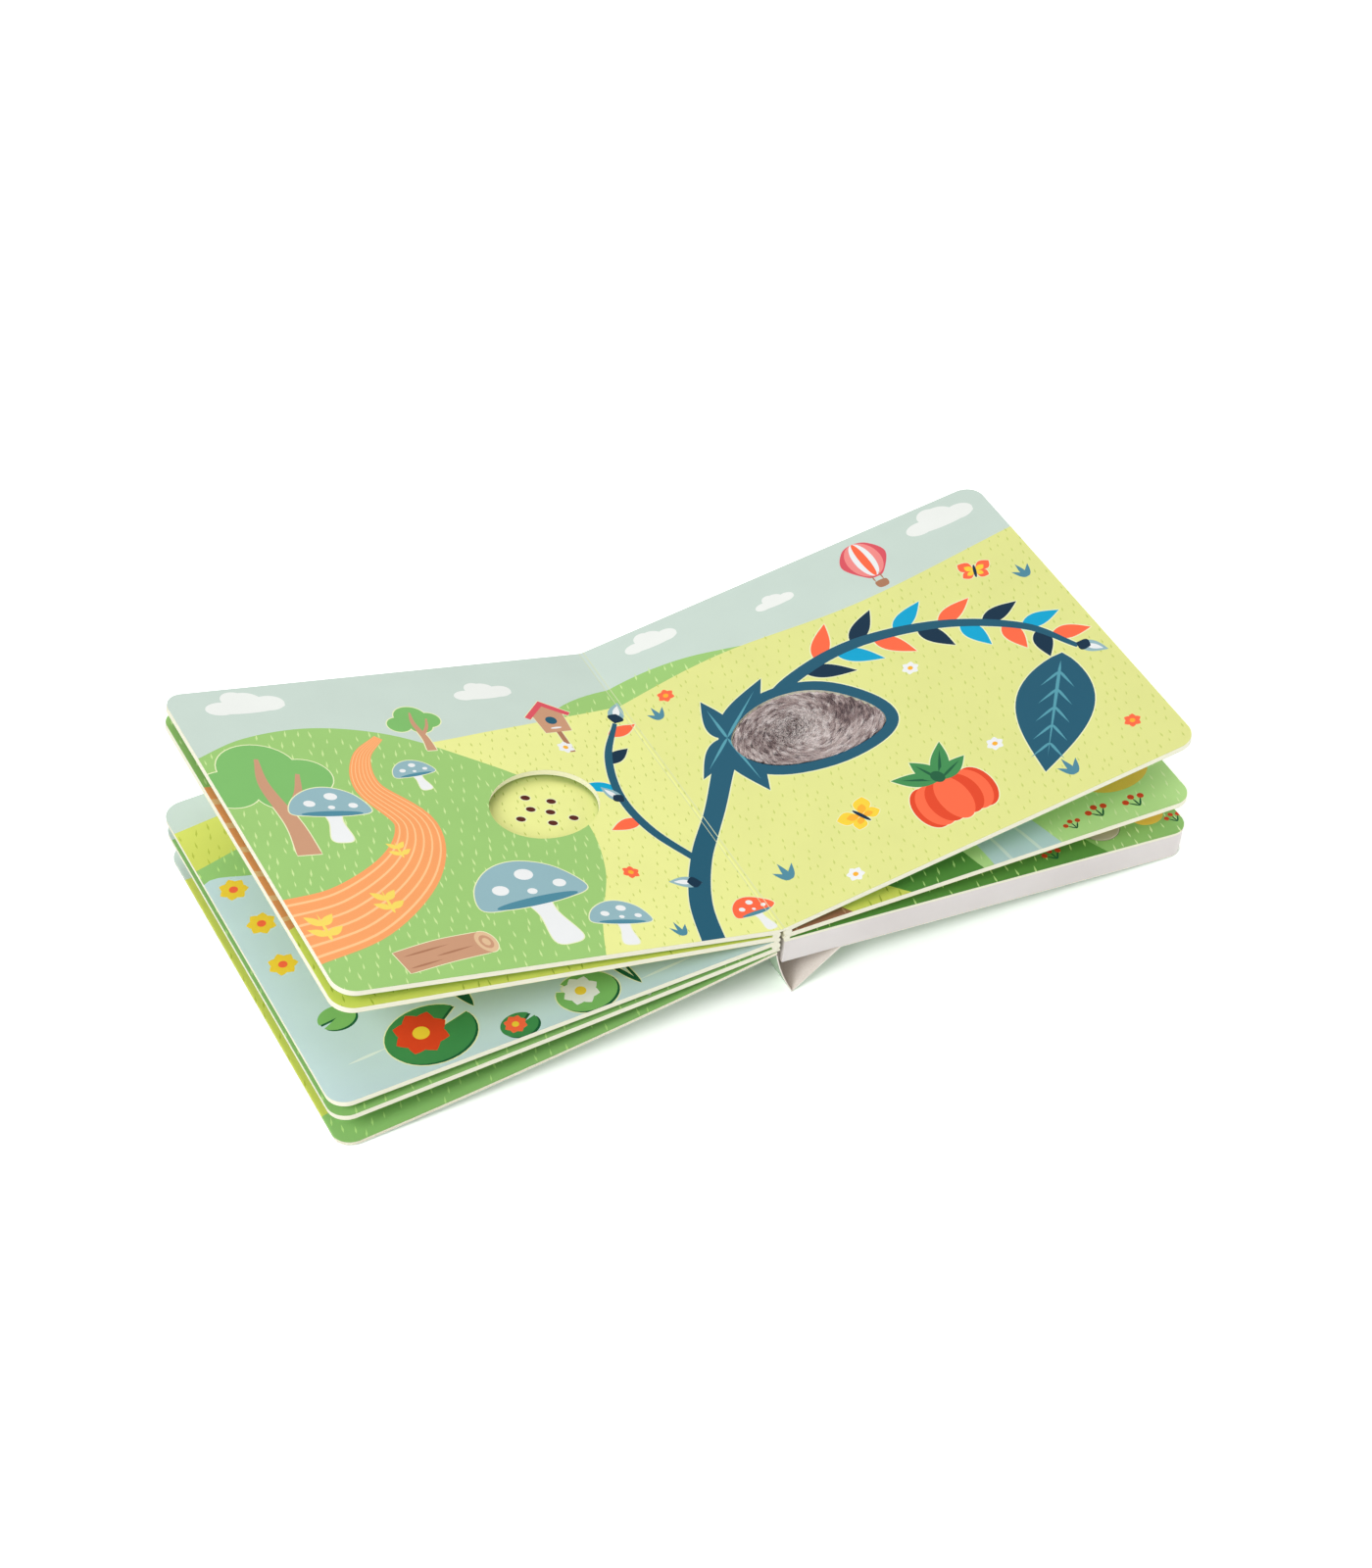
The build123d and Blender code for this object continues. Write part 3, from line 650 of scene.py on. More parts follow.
class Recipe:
    """A new material with its Principled shader, and short ways to add nodes to it."""

    def __init__(self, name, roughness, **sockets):
        self.material = bpy.data.materials.new(name)
        self.material.use_nodes = True
        self.tree = self.material.node_tree
        self.shader = self.tree.nodes["Principled BSDF"]
        self.shader.inputs["Roughness"].default_value = roughness
        for socket, value in sockets.items():
            self.shader.inputs[socket.replace("_", " ")].default_value = value
        self.place = self.tree.nodes.new("ShaderNodeTexCoord").outputs["Object"]
        materials[name] = self.material

    def add(self, kind, links=(), **values):
        """Adds a node; values set its properties or its sockets, links join its inputs."""
        node = self.tree.nodes.new("ShaderNode" + kind)
        for name, value in values.items():
            if hasattr(node, name):
                setattr(node, name, value)
            else:
                node.inputs[name.replace("_", " ")].default_value = value
        for socket, output in dict(links).items():
            self.tree.links.new(output, node.inputs[socket])
        return node

    def noise(self, scale, detail, stretch=(1, 1, 1)):
        """Noise of a given number of waves a metre, stretched by a mapping."""
        mapping = self.add("Mapping", {"Vector": self.place}, Scale=stretch)
        node = self.add("TexNoise", {"Vector": mapping.outputs[0]}, Scale=scale, Detail=detail)
        return node.outputs["Fac"]

    def ramp(self, fac, *stops):
        """Colour ramp through (position, colour) stops; a colour is 0 to 255."""
        node = self.add("ValToRGB", {"Fac": fac})
        while len(node.color_ramp.elements) < len(stops):
            node.color_ramp.elements.new(0.5)
        for element, (position, colour) in zip(node.color_ramp.elements, stops):
            element.position = position
            element.color = (*linear(colour), 1)
        return node.outputs["Color"]

    def mix(self, fac, first, second, kind="MIX"):
        """Mixes two colours; fac is a number or an output."""
        node = self.add("Mix", data_type="RGBA", blend_type=kind)
        for index, value in ((0, fac), (6, first), (7, second)):
            if isinstance(value, bpy.types.NodeSocket):
                self.tree.links.new(value, node.inputs[index])
            else:
                node.inputs[index].default_value = value
        return node.outputs[2]

    def shaded(self, colour, level):
        """A colour multiplied by a level."""
        grey = self.add("CombineColor", {"Red": level, "Green": level, "Blue": level}).outputs[0]
        return self.mix(1.0, colour, grey, "MULTIPLY")

    def below(self, value, limit):
        """1 where a value is under a limit, and 0 elsewhere."""
        node = self.add("Math", {0: value}, operation="LESS_THAN")
        node.inputs[1].default_value = limit
        return node.outputs[0]

    def spread(self, fac, low, high):
        """Maps 0 to 1 onto a range."""
        return self.add("MapRange", {"Value": fac}, To_Min=low, To_Max=high).outputs["Result"]

    def colour(self, output):
        """Joins an output to the base colour."""
        self.tree.links.new(output, self.shader.inputs["Base Color"])

    def rough(self, fac, low, high):
        """Roughness that follows a pattern between two values."""
        self.tree.links.new(self.spread(fac, low, high), self.shader.inputs["Roughness"])

    def bump(self, height, depth, strength):
        """Bump of a real depth in millimetres."""
        node = self.add("Bump", {"Height": height}, Strength=strength, Distance=depth * mm)
        self.tree.links.new(node.outputs["Normal"], self.shader.inputs["Normal"])


print("ways to add nodes:", [way for way in vars(Recipe) if not way.startswith("_")])

# %% [markdown]
# The print takes its colour from the sheet's ink attribute. Real ink is never quite even, so two
# scales of noise darken or lighten it by a few hundredths, and the varnish has a faint
# orange-peel bump.

# %% Printed, varnished paper


def make_print():
    """Varnished print: ink attribute, slight mottle, satin varnish."""
    recipe = Recipe("print", 0.42, Specular_IOR_Level=0.08)
    ink = recipe.add("Attribute", attribute_name="ink", attribute_type="GEOMETRY").outputs["Color"]
    mottle = recipe.spread(recipe.noise(45, 4), 0.955, 1.03)
    grain = recipe.spread(recipe.noise(2400, 2), 0.975, 1.02)
    shade = recipe.add("Math", {0: mottle, 1: grain}, operation="MULTIPLY").outputs[0]
    recipe.colour(recipe.shaded(ink, shade))
    recipe.rough(recipe.noise(900, 2), 0.36, 0.5)
    recipe.bump(recipe.noise(1300, 3), 0.02, 0.35)


make_print()
print("print material made")

# %% [markdown]
# The cut edge of a board shows its paper layers as fine level streaks. Noise that is squeezed
# along Z does that: it changes fast upwards and slowly along the edge.

# %% Boards and card
streaks_along, streaks_up = 160, 5200
dot_scale, dot_radius = 110.0, 0.16


def make_board(name, pale, dark):
    """Dry paper board whose cut edges are streaked by its layers."""
    recipe = Recipe(name, 0.82, Specular_IOR_Level=0.25)
    streak = recipe.noise(1.0, 3, (streaks_along, streaks_along, streaks_up))
    fibre = recipe.noise(1500, 4)
    both = recipe.add("Math", {0: streak, 1: fibre}, operation="ADD").outputs[0]
    recipe.colour(recipe.ramp(recipe.spread(both, -0.35, 0.75), (0.1, dark), (0.6, pale)))
    recipe.bump(both, 0.05, 0.5)


def make_cover(name, pale, dark, least_rise):
    """Cover stock: pale inside, and outside a plain green ground with small dots.

    The outside is where the surface looks down: its normal rises less than a negative least rise.
    """
    recipe = Recipe(name, 0.6, Specular_IOR_Level=0.3)
    normal = recipe.add("TexCoord").outputs["Normal"]
    rise = recipe.add("SeparateXYZ", {"Vector": normal}).outputs["Z"]
    outside = recipe.below(rise, least_rise)
    flat = recipe.add("Mapping", {"Vector": recipe.place}, Scale=(1, 1, 0))
    cells = recipe.add("TexVoronoi", {"Vector": flat.outputs[0]}, Scale=dot_scale, Randomness=0.2)
    dot = recipe.below(cells.outputs["Distance"], dot_radius)
    fibre = recipe.noise(1500, 4)
    inner = recipe.ramp(fibre, (0.3, dark), (0.7, pale))
    ground = recipe.ramp(recipe.noise(40, 3), (0.3, (184, 210, 180)), (0.7, (192, 216, 188)))
    dotted = recipe.mix(dot, ground, (*linear((226, 236, 204)), 1))
    recipe.colour(recipe.mix(outside, inner, dotted))
    recipe.rough(fibre, 0.5, 0.68)
    recipe.bump(fibre, 0.03, 0.4)


make_board("page_board", (246, 244, 222), (238, 235, 208))
make_cover("cover_board", (250, 246, 226), (228, 220, 196), -0.6)
make_cover("cover_card", (250, 243, 234), (240, 231, 220), -0.05)
print("board materials made")

# %% [markdown]
# The sound block is moulded in white plastic with a fine spark-eroded texture, so its side is a
# cool off-white and dull. Its screw, contacts and cells are plated steel, brushed one way.

# %% Plastics, metals and the parts inside


def make_plastic(name, pale, dark, roughness=0.45, grain=2600, depth=0.02):
    """Moulded plastic: faint flow mottle and a fine texture from the mould."""
    recipe = Recipe(name, roughness, Specular_IOR_Level=0.45)
    recipe.colour(recipe.ramp(recipe.noise(30, 3), (0.3, dark), (0.7, pale)))
    texture = recipe.noise(grain, 2)
    recipe.rough(texture, roughness - 0.06, roughness + 0.1)
    recipe.bump(texture, depth, 0.6)


def make_metal(name, pale, dark, roughness=0.32, along=(60, 4000, 4000)):
    """Plated steel: bright, with streaks drawn out one way."""
    recipe = Recipe(name, roughness, Metallic=1.0)
    streak = recipe.noise(1.0, 2, along)
    recipe.colour(recipe.ramp(streak, (0.3, dark), (0.7, pale)))
    recipe.rough(streak, roughness - 0.08, roughness + 0.12)
    recipe.bump(streak, 0.01, 0.4)


def make_circuit():
    """Green laminate with straight copper tracks under its lacquer, from a brick pattern."""
    recipe = Recipe("circuit_laminate", 0.35)
    bricks = recipe.add("TexBrick", {"Vector": recipe.place}, Scale=220.0, Mortar_Size=0.05,
                        Color1=(*linear((22, 92, 52)), 1), Color2=(*linear((26, 100, 58)), 1),
                        Mortar=(*linear((96, 150, 84)), 1))
    recipe.colour(bricks.outputs["Color"])
    recipe.bump(bricks.outputs["Fac"], 0.03, 0.5)


make_plastic("white_plastic", (230, 225, 223), (222, 216, 214), 0.5)
make_plastic("button_plastic", (203, 192, 172), (186, 174, 154), 0.5, 1500, 0.04)
make_plastic("switch_plastic", (40, 40, 43), (28, 28, 30), 0.4)
make_plastic("black_resin", (24, 24, 25), (15, 15, 16), 0.22, 500, 0.08)
make_plastic("paper_cone", (38, 36, 34), (24, 23, 22), 0.85, 1800, 0.08)
make_metal("plated_steel", (205, 205, 203), (170, 170, 168))
make_metal("steel_basket", (180, 182, 184), (140, 142, 145), 0.4)
make_metal("magnet_steel", (110, 110, 113), (80, 80, 83), 0.45)
make_metal("cell_steel", (214, 214, 210), (186, 186, 182), 0.25, (3000, 3000, 60))
make_circuit()

node_finish = {
    "board_pages": "page_board", "front_cover": "cover_board", "wrap_cover": "cover_card",
    "block_case": "white_plastic", "battery_door": "white_plastic", "door_screw": "plated_steel",
    "sound_button": "button_plastic", "speaker_frame": "steel_basket", "speaker_magnet": "magnet_steel",
    "speaker_cone": "paper_cone", "circuit_board": "circuit_laminate", "sound_chip": "black_resin",
    "snap_dome": "steel_basket", "switch_body": "black_resin", "switch_knob": "switch_plastic",
    "contact_spine_end": "plated_steel", "contact_screw_end": "plated_steel",
    "battery_cell_1": "cell_steel", "battery_cell_2": "cell_steel", "battery_cell_3": "cell_steel",
}
for node_name, finish in node_finish.items():
    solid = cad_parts[node_name]
    solid.data.materials.clear()
    solid.data.materials.append(materials[finish])
print("finishes given to", len(node_finish), "solids")

# %% [markdown]
# ## The open spread
#
# The two open pages carry one picture that runs across the gutter, so it is drawn once, from
# x = -200 at the left fore-edge to x = 200 at the right, and printed on both faces and on the
# narrow strip between the two creases. The crease cracks the ink a little, which shows as two
# fine pale lines.

# %% Grounds of the open spread
crease, crease_end = 0.85, 1.15
hill_crest = [(-203, 52), (-176, 63), (-144, 65), (-112, 55), (-84, 34), (-62, 12), (-52, -14),
              (-58, -46), (-74, -76), (-84, -100)]
path_line = [(-206, -60, 40), (-172, -52, 34), (-140, -30, 26), (-126, -4, 19), (-136, 22, 13),
             (-131, 42, 8), (-118, 54, 4)]
meadow_crest = [(-204, 50), (-120, 46), (-60, 51), (-10, 56), (50, 62), (120, 57), (204, 63)]


def spread_grounds():
    """Sky, far hill, meadow, near hill with its striped path, and all their ticks.

    Left of the gutter the meadow is laid down again in a lighter ink of its own, which is painted light for
    that page.
    """
    far_hill = smooth([(-60, 30), (-30, 60), (8, 70), (48, 66), (86, 46), (20, 20)])
    hill = np.concatenate([smooth(hill_crest, closed=False), [(-page_reach, -100)]])
    marks = [("sky", rectangle(-page_reach, page_reach)), ("hill", far_hill)]
    marks += ticks(far_hill, "hill_tick", 11)
    meadow = field("meadow", meadow_crest, "meadow_tick", 12, **short_ticks)
    left_part = np.minimum(meadow[0][1], (0, past_page))
    # The meadow left of the gutter takes a lighter copy of its ink: painted light.
    marks += [meadow[0], ("meadow_painted_light", left_part)] + meadow[1:]
    marks += [("hill", hill)] + ticks(hill, "hill_tick", 13)
    marks += striped_path(path_line)
    for x, y, size in ((-190, -58, 17), (-158, -48, 15), (-140, -18, 11)):
        marks += sprout(x, y, size)
    return marks


print("ground marks:", len(spread_grounds()))

# %% [markdown]
# The branch is the big dark shape of the picture. It rises from the near edge of the left page,
# crosses the gutter and ends in a bud scale that holds the window, so that the fur is the
# catkin. A twig arches over to the right and carries a row of narrow leaves.

# %% The branch and its catkins
window_middle = fur_window.reshape(-1, 2).mean(0)
bud_foot, bud_turn = np.array([31.0, 14.0]), -22.0
branch_line = [(-34, -102, 11), (-27, -74, 10), (-12, -46, 9), (8, -20, 9), (24, 2, 10), (38, 16, 13)]
side_twig = [(-14, -50, 4), (-26, -26, 4.5), (-29, -2, 4), (-22, 24, 3.5), (-8, 46, 2)]
arch_twig = [(46, 16, 7), (70, 30, 6.5), (104, 35, 6), (142, 25, 5), (172, 4, 4), (186, -20, 2.5)]
leafy_steps = range(10, 38, 2)
blade_foot, blade_length, blade_turn = (178, -20), 72, 234


def window_ring():
    """The window's outline as a ring in order of its angle about its middle."""
    points = np.unique(np.round(fur_window.reshape(-1, 2), 3), axis=0)
    away = points - window_middle
    return points[np.argsort(np.arctan2(away[:, 1], away[:, 0]))]


def small_catkin(x, y, size, turn):
    """Grey catkin bud in its dark scale."""
    shine = ahead(x, y, turn, size * 0.3)
    return [("slate", leaf(x, y, size, size * 0.46, turn, 0.85)),
            ("pale", leaf(*shine, size * 0.55, size * 0.2, turn)),
            ("navy", leaf(x, y, size * 0.46, size * 0.46, turn, 1.2))]


def branch():
    """Branch, twigs, leaves and the bud scale round the window."""
    ring = window_ring()
    scale = grown(ring, 5.5)
    blade = leaf(*blade_foot, blade_length, 34, blade_turn, 0.8, 24)
    sepals = [("teal", leaf(*bud_foot, length, width, bud_turn + turn, 0.62, 18)) for length, width, turn in
              ((38, 15, 62), (38, 15, -66), (26, 11, 112), (26, 11, -118))]
    dark = [("teal", stroke(branch_line)), ("teal", stroke(side_twig)), ("teal", stroke(arch_twig)),
            ("teal", scale), *sepals, ("teal", blade)]
    marks = []
    twig = smooth(arch_twig, closed=False)
    heading = np.degrees(np.arctan2(*np.gradient(twig[:, :2], axis=0).T[::-1]))
    for number, place in enumerate(leafy_steps):
        ink = ("navy", "coral", "cyan")[number % 3]
        turn = heading[place] + (46 if number % 2 else -46)
        marks.append((ink, leaf(*twig[place, :2], 24 - number * 0.5, 8.4, turn, 0.72)))
    for x, y, turn, ink in ((-27, -18, 196, "coral"), (-28, 4, 168, "cyan"), (-25, 20, 30, "navy"),
                            (-15, 38, 20, "coral")):
        marks.append((ink, leaf(x, y, 17, 6.5, turn)))
    marks = haloed(marks + dark, 0.55)
    veins = [("teal_light", leaf(175, -24, 58, 1.5, blade_turn, 0.5))]
    for share in np.linspace(0.16, 0.76, 5):
        root = ahead(*blade_foot, blade_turn, blade_length * share)
        veins += [("teal_light", leaf(*root, 12, 1.3, blade_turn + k, 0.5)) for k in (38, -38)]
    veins += [("teal_light", leaf(*bud_foot, length, 1.4, bud_turn + turn, 0.5)) for length, turn in
              ((30, 62), (30, -66), (20, 112), (20, -118))]
    marks += veins + small_catkin(-8, 46, 16, 60) + small_catkin(-29, -6, 13, 118)
    marks += small_catkin(186, -18, 15, -48) + small_catkin(-20, -62, 15, 168)
    return marks


def open_spread():
    """All marks of the open pages."""
    marks = spread_grounds()
    for x, y, size in ((-166, 84, 34), (-58, 76, 26), (30, 86, 24), (176, 84, 32), (88, 78, 18)):
        marks += cloud(x, y, size)
    marks += haloed(tree(-178, 24, 62)) + haloed(tree(-98, 58, 26)) + balloon(134, 80, 22)
    marks += haloed(birdhouse(-36, 52, 24), 0.4) + haloed(log(-148, -82, 44, 8), 0.4)
    marks += haloed(toadstool(-96, -58, 50, 6) + toadstool(-158, 10, 34, -8), 0.5)
    marks += haloed(toadstool(-66, -78, 26, -10), 0.5) + haloed(toadstool(-112, 28, 19, 5), 0.4)
    marks += branch()
    marks += haloed(pumpkin(96, -70, 34), 0.5) + haloed(toadstool(-6, -84, 20, 12, "coral"), 0.4)
    marks += haloed(butterfly(58, -58, 18, 24) + butterfly(172, 46, 15, -20, "coral", "yellow"), 0.35)
    for x, y, size in ((16, -74, 11), (190, 30, 10), (146, -86, 11), (12, 40, 9), (-44, -92, 9)):
        marks += tuft(x, y, size)
    for x, y, petal in ((40, -86, "pale"), (126, -52, "pale"), (182, -72, "coral"), (118, 8, "pale"),
                        (20, 52, "coral"), (-38, 34, "pale"), (-48, -50, "coral")):
        marks += flower(x, y, 8, petal, "amber", 6, x)
    return marks + [("crease", rectangle(crease, crease_end) * (side, 1)) for side in (-1, 1)]


spread_marks = open_spread()
print_on("print_left_open", left_pages[0], spread_marks)
print_on("print_right_open", right_pages[0], spread_marks)

# %% [markdown]
# The strip between the creases is level, so its face is a narrow rectangle at the gutter's
# height. It takes the same marks as its two neighbours.

# %% The gutter strip
half_height = (cad_high[1] - cad_low[1]) / 2 / mm
gutter_top = (left_pages[0]["foot"] + (0 - crease) * left_pages[0]["across"])[2]
gutter_ring = np.array([(-crease, -half_height), (crease, -half_height), (crease, half_height),
                        (-crease, half_height)])
gutter_face = {"normal": np.array([0, 0, 1.0]), "across": np.array([1.0, 0, 0]),
               "foot": np.array([0, 0, gutter_top]), "edges": edges_of(gutter_ring)}
print_on("print_gutter", gutter_face, spread_marks)

# %% [markdown]
# ## The leaves behind
#
# Of the other pages only strips show: their fore-edges in the fan, what the gaps let in, and an
# oval piece of the second left page through the finger hole, with seeds on it. They are drawn
# in the same inks. The seeds follow a sunflower's spiral: each one turns by the golden angle and
# stands further out by the square root of its number.

# %% Second left page
golden_angle = 137.508
seed_count, seed_step, seed_size = 7, 5.8, 4.2


def seeds(x, y):
    """Seeds on a golden-angle spiral, each with a thin pale rim."""
    number = np.arange(seed_count)
    angle, reach = number * golden_angle, seed_step * np.sqrt(number + 0.25)
    marks = []
    for a, r in zip(angle, reach):
        sx, sy = x + r * cos(radians(a)), y + r * sin(radians(a)) * 0.8
        marks += [("halo", oval(sx, sy, seed_size + 1, seed_size * 0.78 + 1, -12, 20)),
                  ("seed", oval(sx, sy, seed_size, seed_size * 0.78, -12, 20))]
    return marks


def second_left():
    """Meadow with an orange field at the fore-edge, and seeds where the hole shows them."""
    marks = [left_sky]
    marks += field("hill", [(-203, 99), (-140, 84), (-60, 62), (3, 66)], "hill_tick", 21)
    orange = [(-216, -2, 98), (-190, -6, 94), (-166, -20, 60), (-150, -42, 30), (-156, -72, 14)]
    # This page's meadow and its near strip take lighter copies of the meadow and straw inks: painted light
    # for a page in the shade of the leaf above.
    marks += field("meadow_painted_light", [(-170, 58), (-120, 54), (-60, 46), (3, 52)], "meadow_tick", 22,
                   **short_ticks)
    marks += field("lime", [(-203, -42), (-150, -66), (-70, -80), (3, -84)], "straw_tick", 23)
    return marks + striped_path(orange) + seeds(hole_x, hole_y)


print_on("print_left_second", left_pages[1], second_left())

# %% [markdown]
# The fan shows most of the third left page: a pale pond under a green bank. Its lily pads lie
# near the corner that can be seen, and its marsh flowers stand along the fore-edge.

# %% Third left page, with its pond


def third_left():
    """Strips of sky, straw and green bank over a pond with lilies and marsh flowers."""
    marks = [left_sky]
    marks += field("straw", [(-203, 79), (-150, 82), (-70, 76), (3, 80)], "straw_tick", 31)
    marks += field("bank", [(-203, 53), (-160, 60), (-100, 52), (-40, 60), (3, 54)], "bank_tick", 32)
    pond = smooth([(-206, 33), (-176, 40), (-140, 34), (-96, 40), (-50, 32), (8, 40), (8, -104),
                   (-60, -108), (-150, -108), (-210, -104)])
    marks.append(("pond", pond))
    for x, y, length in ((-178, -34, 26), (-132, -56, 30), (-62, -90, 26), (-30, -86, 22), (-186, -78, 18)):
        marks.append(("ripple", leaf(x, y, length, 1.4, 4, 0.9)))
    marks += haloed(lily_pad(-150, -78, 38, "red"), 0.5) + lily_pad(-180, -52, 16, None, "grove", 200)
    marks += haloed(lily_pad(-84, -86, 26, "pale", "grove", 140), 0.5) + lily_pad(-116, -90, 16, "coral")
    for x, y in ((-190, 36), (-187, 12), (-188, -14)):
        marks += flower(x, y, 13, "yellow", "coral", 7, y)
    return marks + haloed(reed(-128, -72, 40) + reed(-62, -92, 26, 8), 0.4)


print_on("print_left_third", left_pages[2], third_left())

# %% [markdown]
# The last left page and the two lower right ones show little more than their near corners and a
# sliver along the near edge. Fields of dark and light green meet there, with flowers, berries and
# amber fruit.

# %% Last left page and the right pages


def fourth_left():
    """Green slope under a strip of sky, with a few flowers along the near edge."""
    marks = [left_sky]
    marks += field("bank", [(-203, 84), (-150, 90), (-70, 82), (3, 88)], "bank_tick", 42)
    for x, y in ((-188, -60), (-120, -88), (-60, -90)):
        marks += flower(x, y, 11, "pale", "yellow", 6, y)
    return marks


def second_right():
    """Pale slope with a stream, darker fields, amber fruit and berries at the near edge; the slope, the
    light green strip and the fruit are lighter copies of their inks, painted light for this page in the
    shade of the leaf above.
    """
    marks = [right_sky]
    # The pale slope and the light green strip are lighter copies of their inks: painted light.
    marks += field("bank_painted_light", [(-3, 60), (60, 66), (130, 58), (203, 64)], "bank_painted_light_tick", 51)
    marks += field("bank_dark", [(-3, 20), (50, -10), (84, -60), (96, -98)], "bank_tick", 52)
    marks += field("lime", [(-3, -60), (30, -66), (62, -98)], "straw_tick", 53)
    marks += field("brown_dark", [(-3, -74), (18, -78), (34, -98)], "brown", 54)
    stream = [(60, 40, 10), (84, 0, 16), (96, -40, 24), (112, -74, 28), (118, -104, 34)]
    marks.append(("pond", stroke(stream)))
    marks += [("ripple", stripe(stream, shift, 0.05)) for shift in (-0.24, 0.2)]
    for x, y, size in ((176, -66, 36), (40, -70, 30)):
        # The amber fruit takes a lighter amber ink: painted light.
        marks.append(("amber_painted_light", oval(x, y, size, size * 0.72, 8)))
        marks.append(("yellow", oval(x + 4, y + 9, size * 0.4, size * 0.2, 12)))
    for x, y, size in ((158, -90, 9), (176, -91, 9), (144, -92, 7), (30, -90, 12), (60, -84, 11)):
        marks += berries(x, y, size)
    return marks


def block_page():
    """Green slope with a dark field, berries and amber fruit round the press button; its ticks and fruit
    are in lighter inks, painted light for this shaded page.
    """
    marks = [right_sky]
    # The ticks here take the lighter tick ink: painted light.
    marks += field("bank", [(-3, 60), (60, 52), (130, 64), (203, 56)], "bank_painted_light_tick", 61)
    marks += field("bank_dark", [(-3, 20), (70, 10), (126, -40), (158, -98)], "bank_tick", 62)
    for x, y, size in ((112, -88, 11), (134, -93, 8), (197, -90, 7), (78, -90, 12), (40, -86, 13)):
        marks += berries(x, y, size)
    # The amber fruit takes a lighter amber ink: painted light.
    for x, y, size in ((186, -82, 16), (126, -74, 13), (60, -78, 14)):
        marks.append(("amber_painted_light", oval(x, y, size, size * 0.7, 10)))
    return marks


print_on("print_left_fourth", left_pages[3], fourth_left())
print_on("print_right_second", right_pages[1], second_right())
print_on("print_block_page", right_pages[2], block_page())

# %% [markdown]
# The backs of the leaves show when the book is turned over or looked at along its edge. A plain
# landscape is enough there: a strip of sky, a slope and its ticks, with a few flowers.

# %% Backs of the leaves
back_flowers = 7


def plain_back(side, ground, tick_ink, seed, petal):
    """Sky over one slope with a scatter of flowers, on one side of the gutter."""
    random = np.random.default_rng(seed)
    across = np.linspace(-past_gutter, page_reach, 5)
    crest = np.stack([across, 58 + random.uniform(-7, 7, 5)], 1) * (side, 1)
    crest = crest[np.argsort(crest[:, 0])]
    marks = [("sky", rectangle(-past_gutter, page_reach) * (side, 1))]
    marks += field(ground, crest, tick_ink, seed, pitch=10.5)
    places = random.uniform(20, 188, back_flowers), random.uniform(-86, 46, back_flowers)
    for x, y, size in zip(*places, random.uniform(8, 15, back_flowers)):
        marks += flower(side * x, y, size, petal, "yellow", 6, x)
    return marks


back_inks = (("hill", "hill_tick", "pale"), ("bank", "bank_tick", "coral"),
             ("meadow", "meadow_tick", "coral"))
for side_name, faces in (("left", left_backs), ("right", right_backs[:2])):
    for number, face in enumerate(faces, 1):
        ground, tick_ink, petal = back_inks[number % 3]
        marks = plain_back(face["side"], ground, tick_ink, 70 + number + len(faces) * 10, petal)
        print_on(f"print_{side_name}_back_{number}", face, marks)

# %% [markdown]
# ## The front cover's inside
#
# The front cover is bowed, so its sheet cannot lie in one plane. Its section is a chain of
# points from the hinge to the fore-edge. The sheet is drawn flat, with the distance along that
# chain as x, cut along every bend, and then laid on the chain point by point.

# %% Sheet on the bowed cover


def bowed_face(name):
    """Section chain, outline and bends of a bowed board's upper side."""
    triangles = triangles_of(name)
    normals, areas = normals_of(triangles)
    top = triangles[(normals[:, 2] > 0.5) & (areas > sliver_area)]
    chain = np.unique(np.round(top.reshape(-1, 3)[:, [0, 2]], 2), axis=0)
    first = np.unique(chain[:, 0], return_index=True)[1]
    chain = chain[first]
    step = np.hypot(*np.diff(chain, axis=0).T)
    along = -page_width + np.concatenate([[0], np.cumsum(step)])
    flat = np.stack([np.interp(top[..., 0], chain[:, 0], along), top[..., 1]], -1)
    folds = [np.array([[(a, -half_height), (a, half_height)]]) for a in along[1:-1]]
    return {"chain": chain, "along": along, "edges": outline_edges(flat), "folds": folds}


def print_on_bow(name, face, marks):
    """Sheet laid on a chain: x and z by distance along it, lifted along its own normal."""
    flat, corners, ink = cut_flat(face["edges"], marks, face["folds"])
    chain, along = face["chain"], face["along"]
    up = sides(chain)
    base = np.stack([np.interp(flat[:, 0], along, chain[:, k]) for k in (0, 1)], 1)
    lift = np.stack([np.interp(flat[:, 0], along, up[:, k]) for k in (0, 1)], 1) * sheet_lift
    places = np.stack([base[:, 0] + lift[:, 0], flat[:, 1], base[:, 1] + lift[:, 1]], 1)
    lay_print(name, places, corners, ink, "front_cover")


cover_face = bowed_face("front_cover")
cover_marks = [left_sky]
cover_marks += field("straw", [(-204, 76), (-150, 70), (-70, 44), (3, 50)], "straw_tick", 91)
cover_marks += field("bank", [(-204, -78), (-180, -74), (-120, -60), (-60, -64), (3, -56)], "bank_tick", 92)
print_on_bow("print_cover_inside", cover_face, cover_marks)
print("bends of the cover:", len(cover_face["folds"]))

# %% [markdown]
# ## The fur window
#
# The patch is short artificial fur: a woven backing with a pile that a cowlick sweeps round, so
# it is flat at the rim and stands up in the middle. A texture alone would look painted, so the
# pile is real: thousands of thin tapering blades. They are worked out together as one array of
# shape (blades, steps, 2 sides, 3). Under them a domed backing replaces the plain CAD solid.

# %% Fur backing
open_face = right_pages[0]
window_depth = 1.2
backing_play, backing_lift, backing_rings = 0.35, 0.02, 9
backing_rim, dome_height = -1.14, 0.85


def on_page(flat, rise):
    """Points of the right open page in millimetres: foot + x across + y along + rise out."""
    return (open_face["foot"] + flat[..., :1] * open_face["across"]
            + flat[..., 1:] * np.array([0, 1.0, 0]) + rise[..., None] * open_face["normal"])


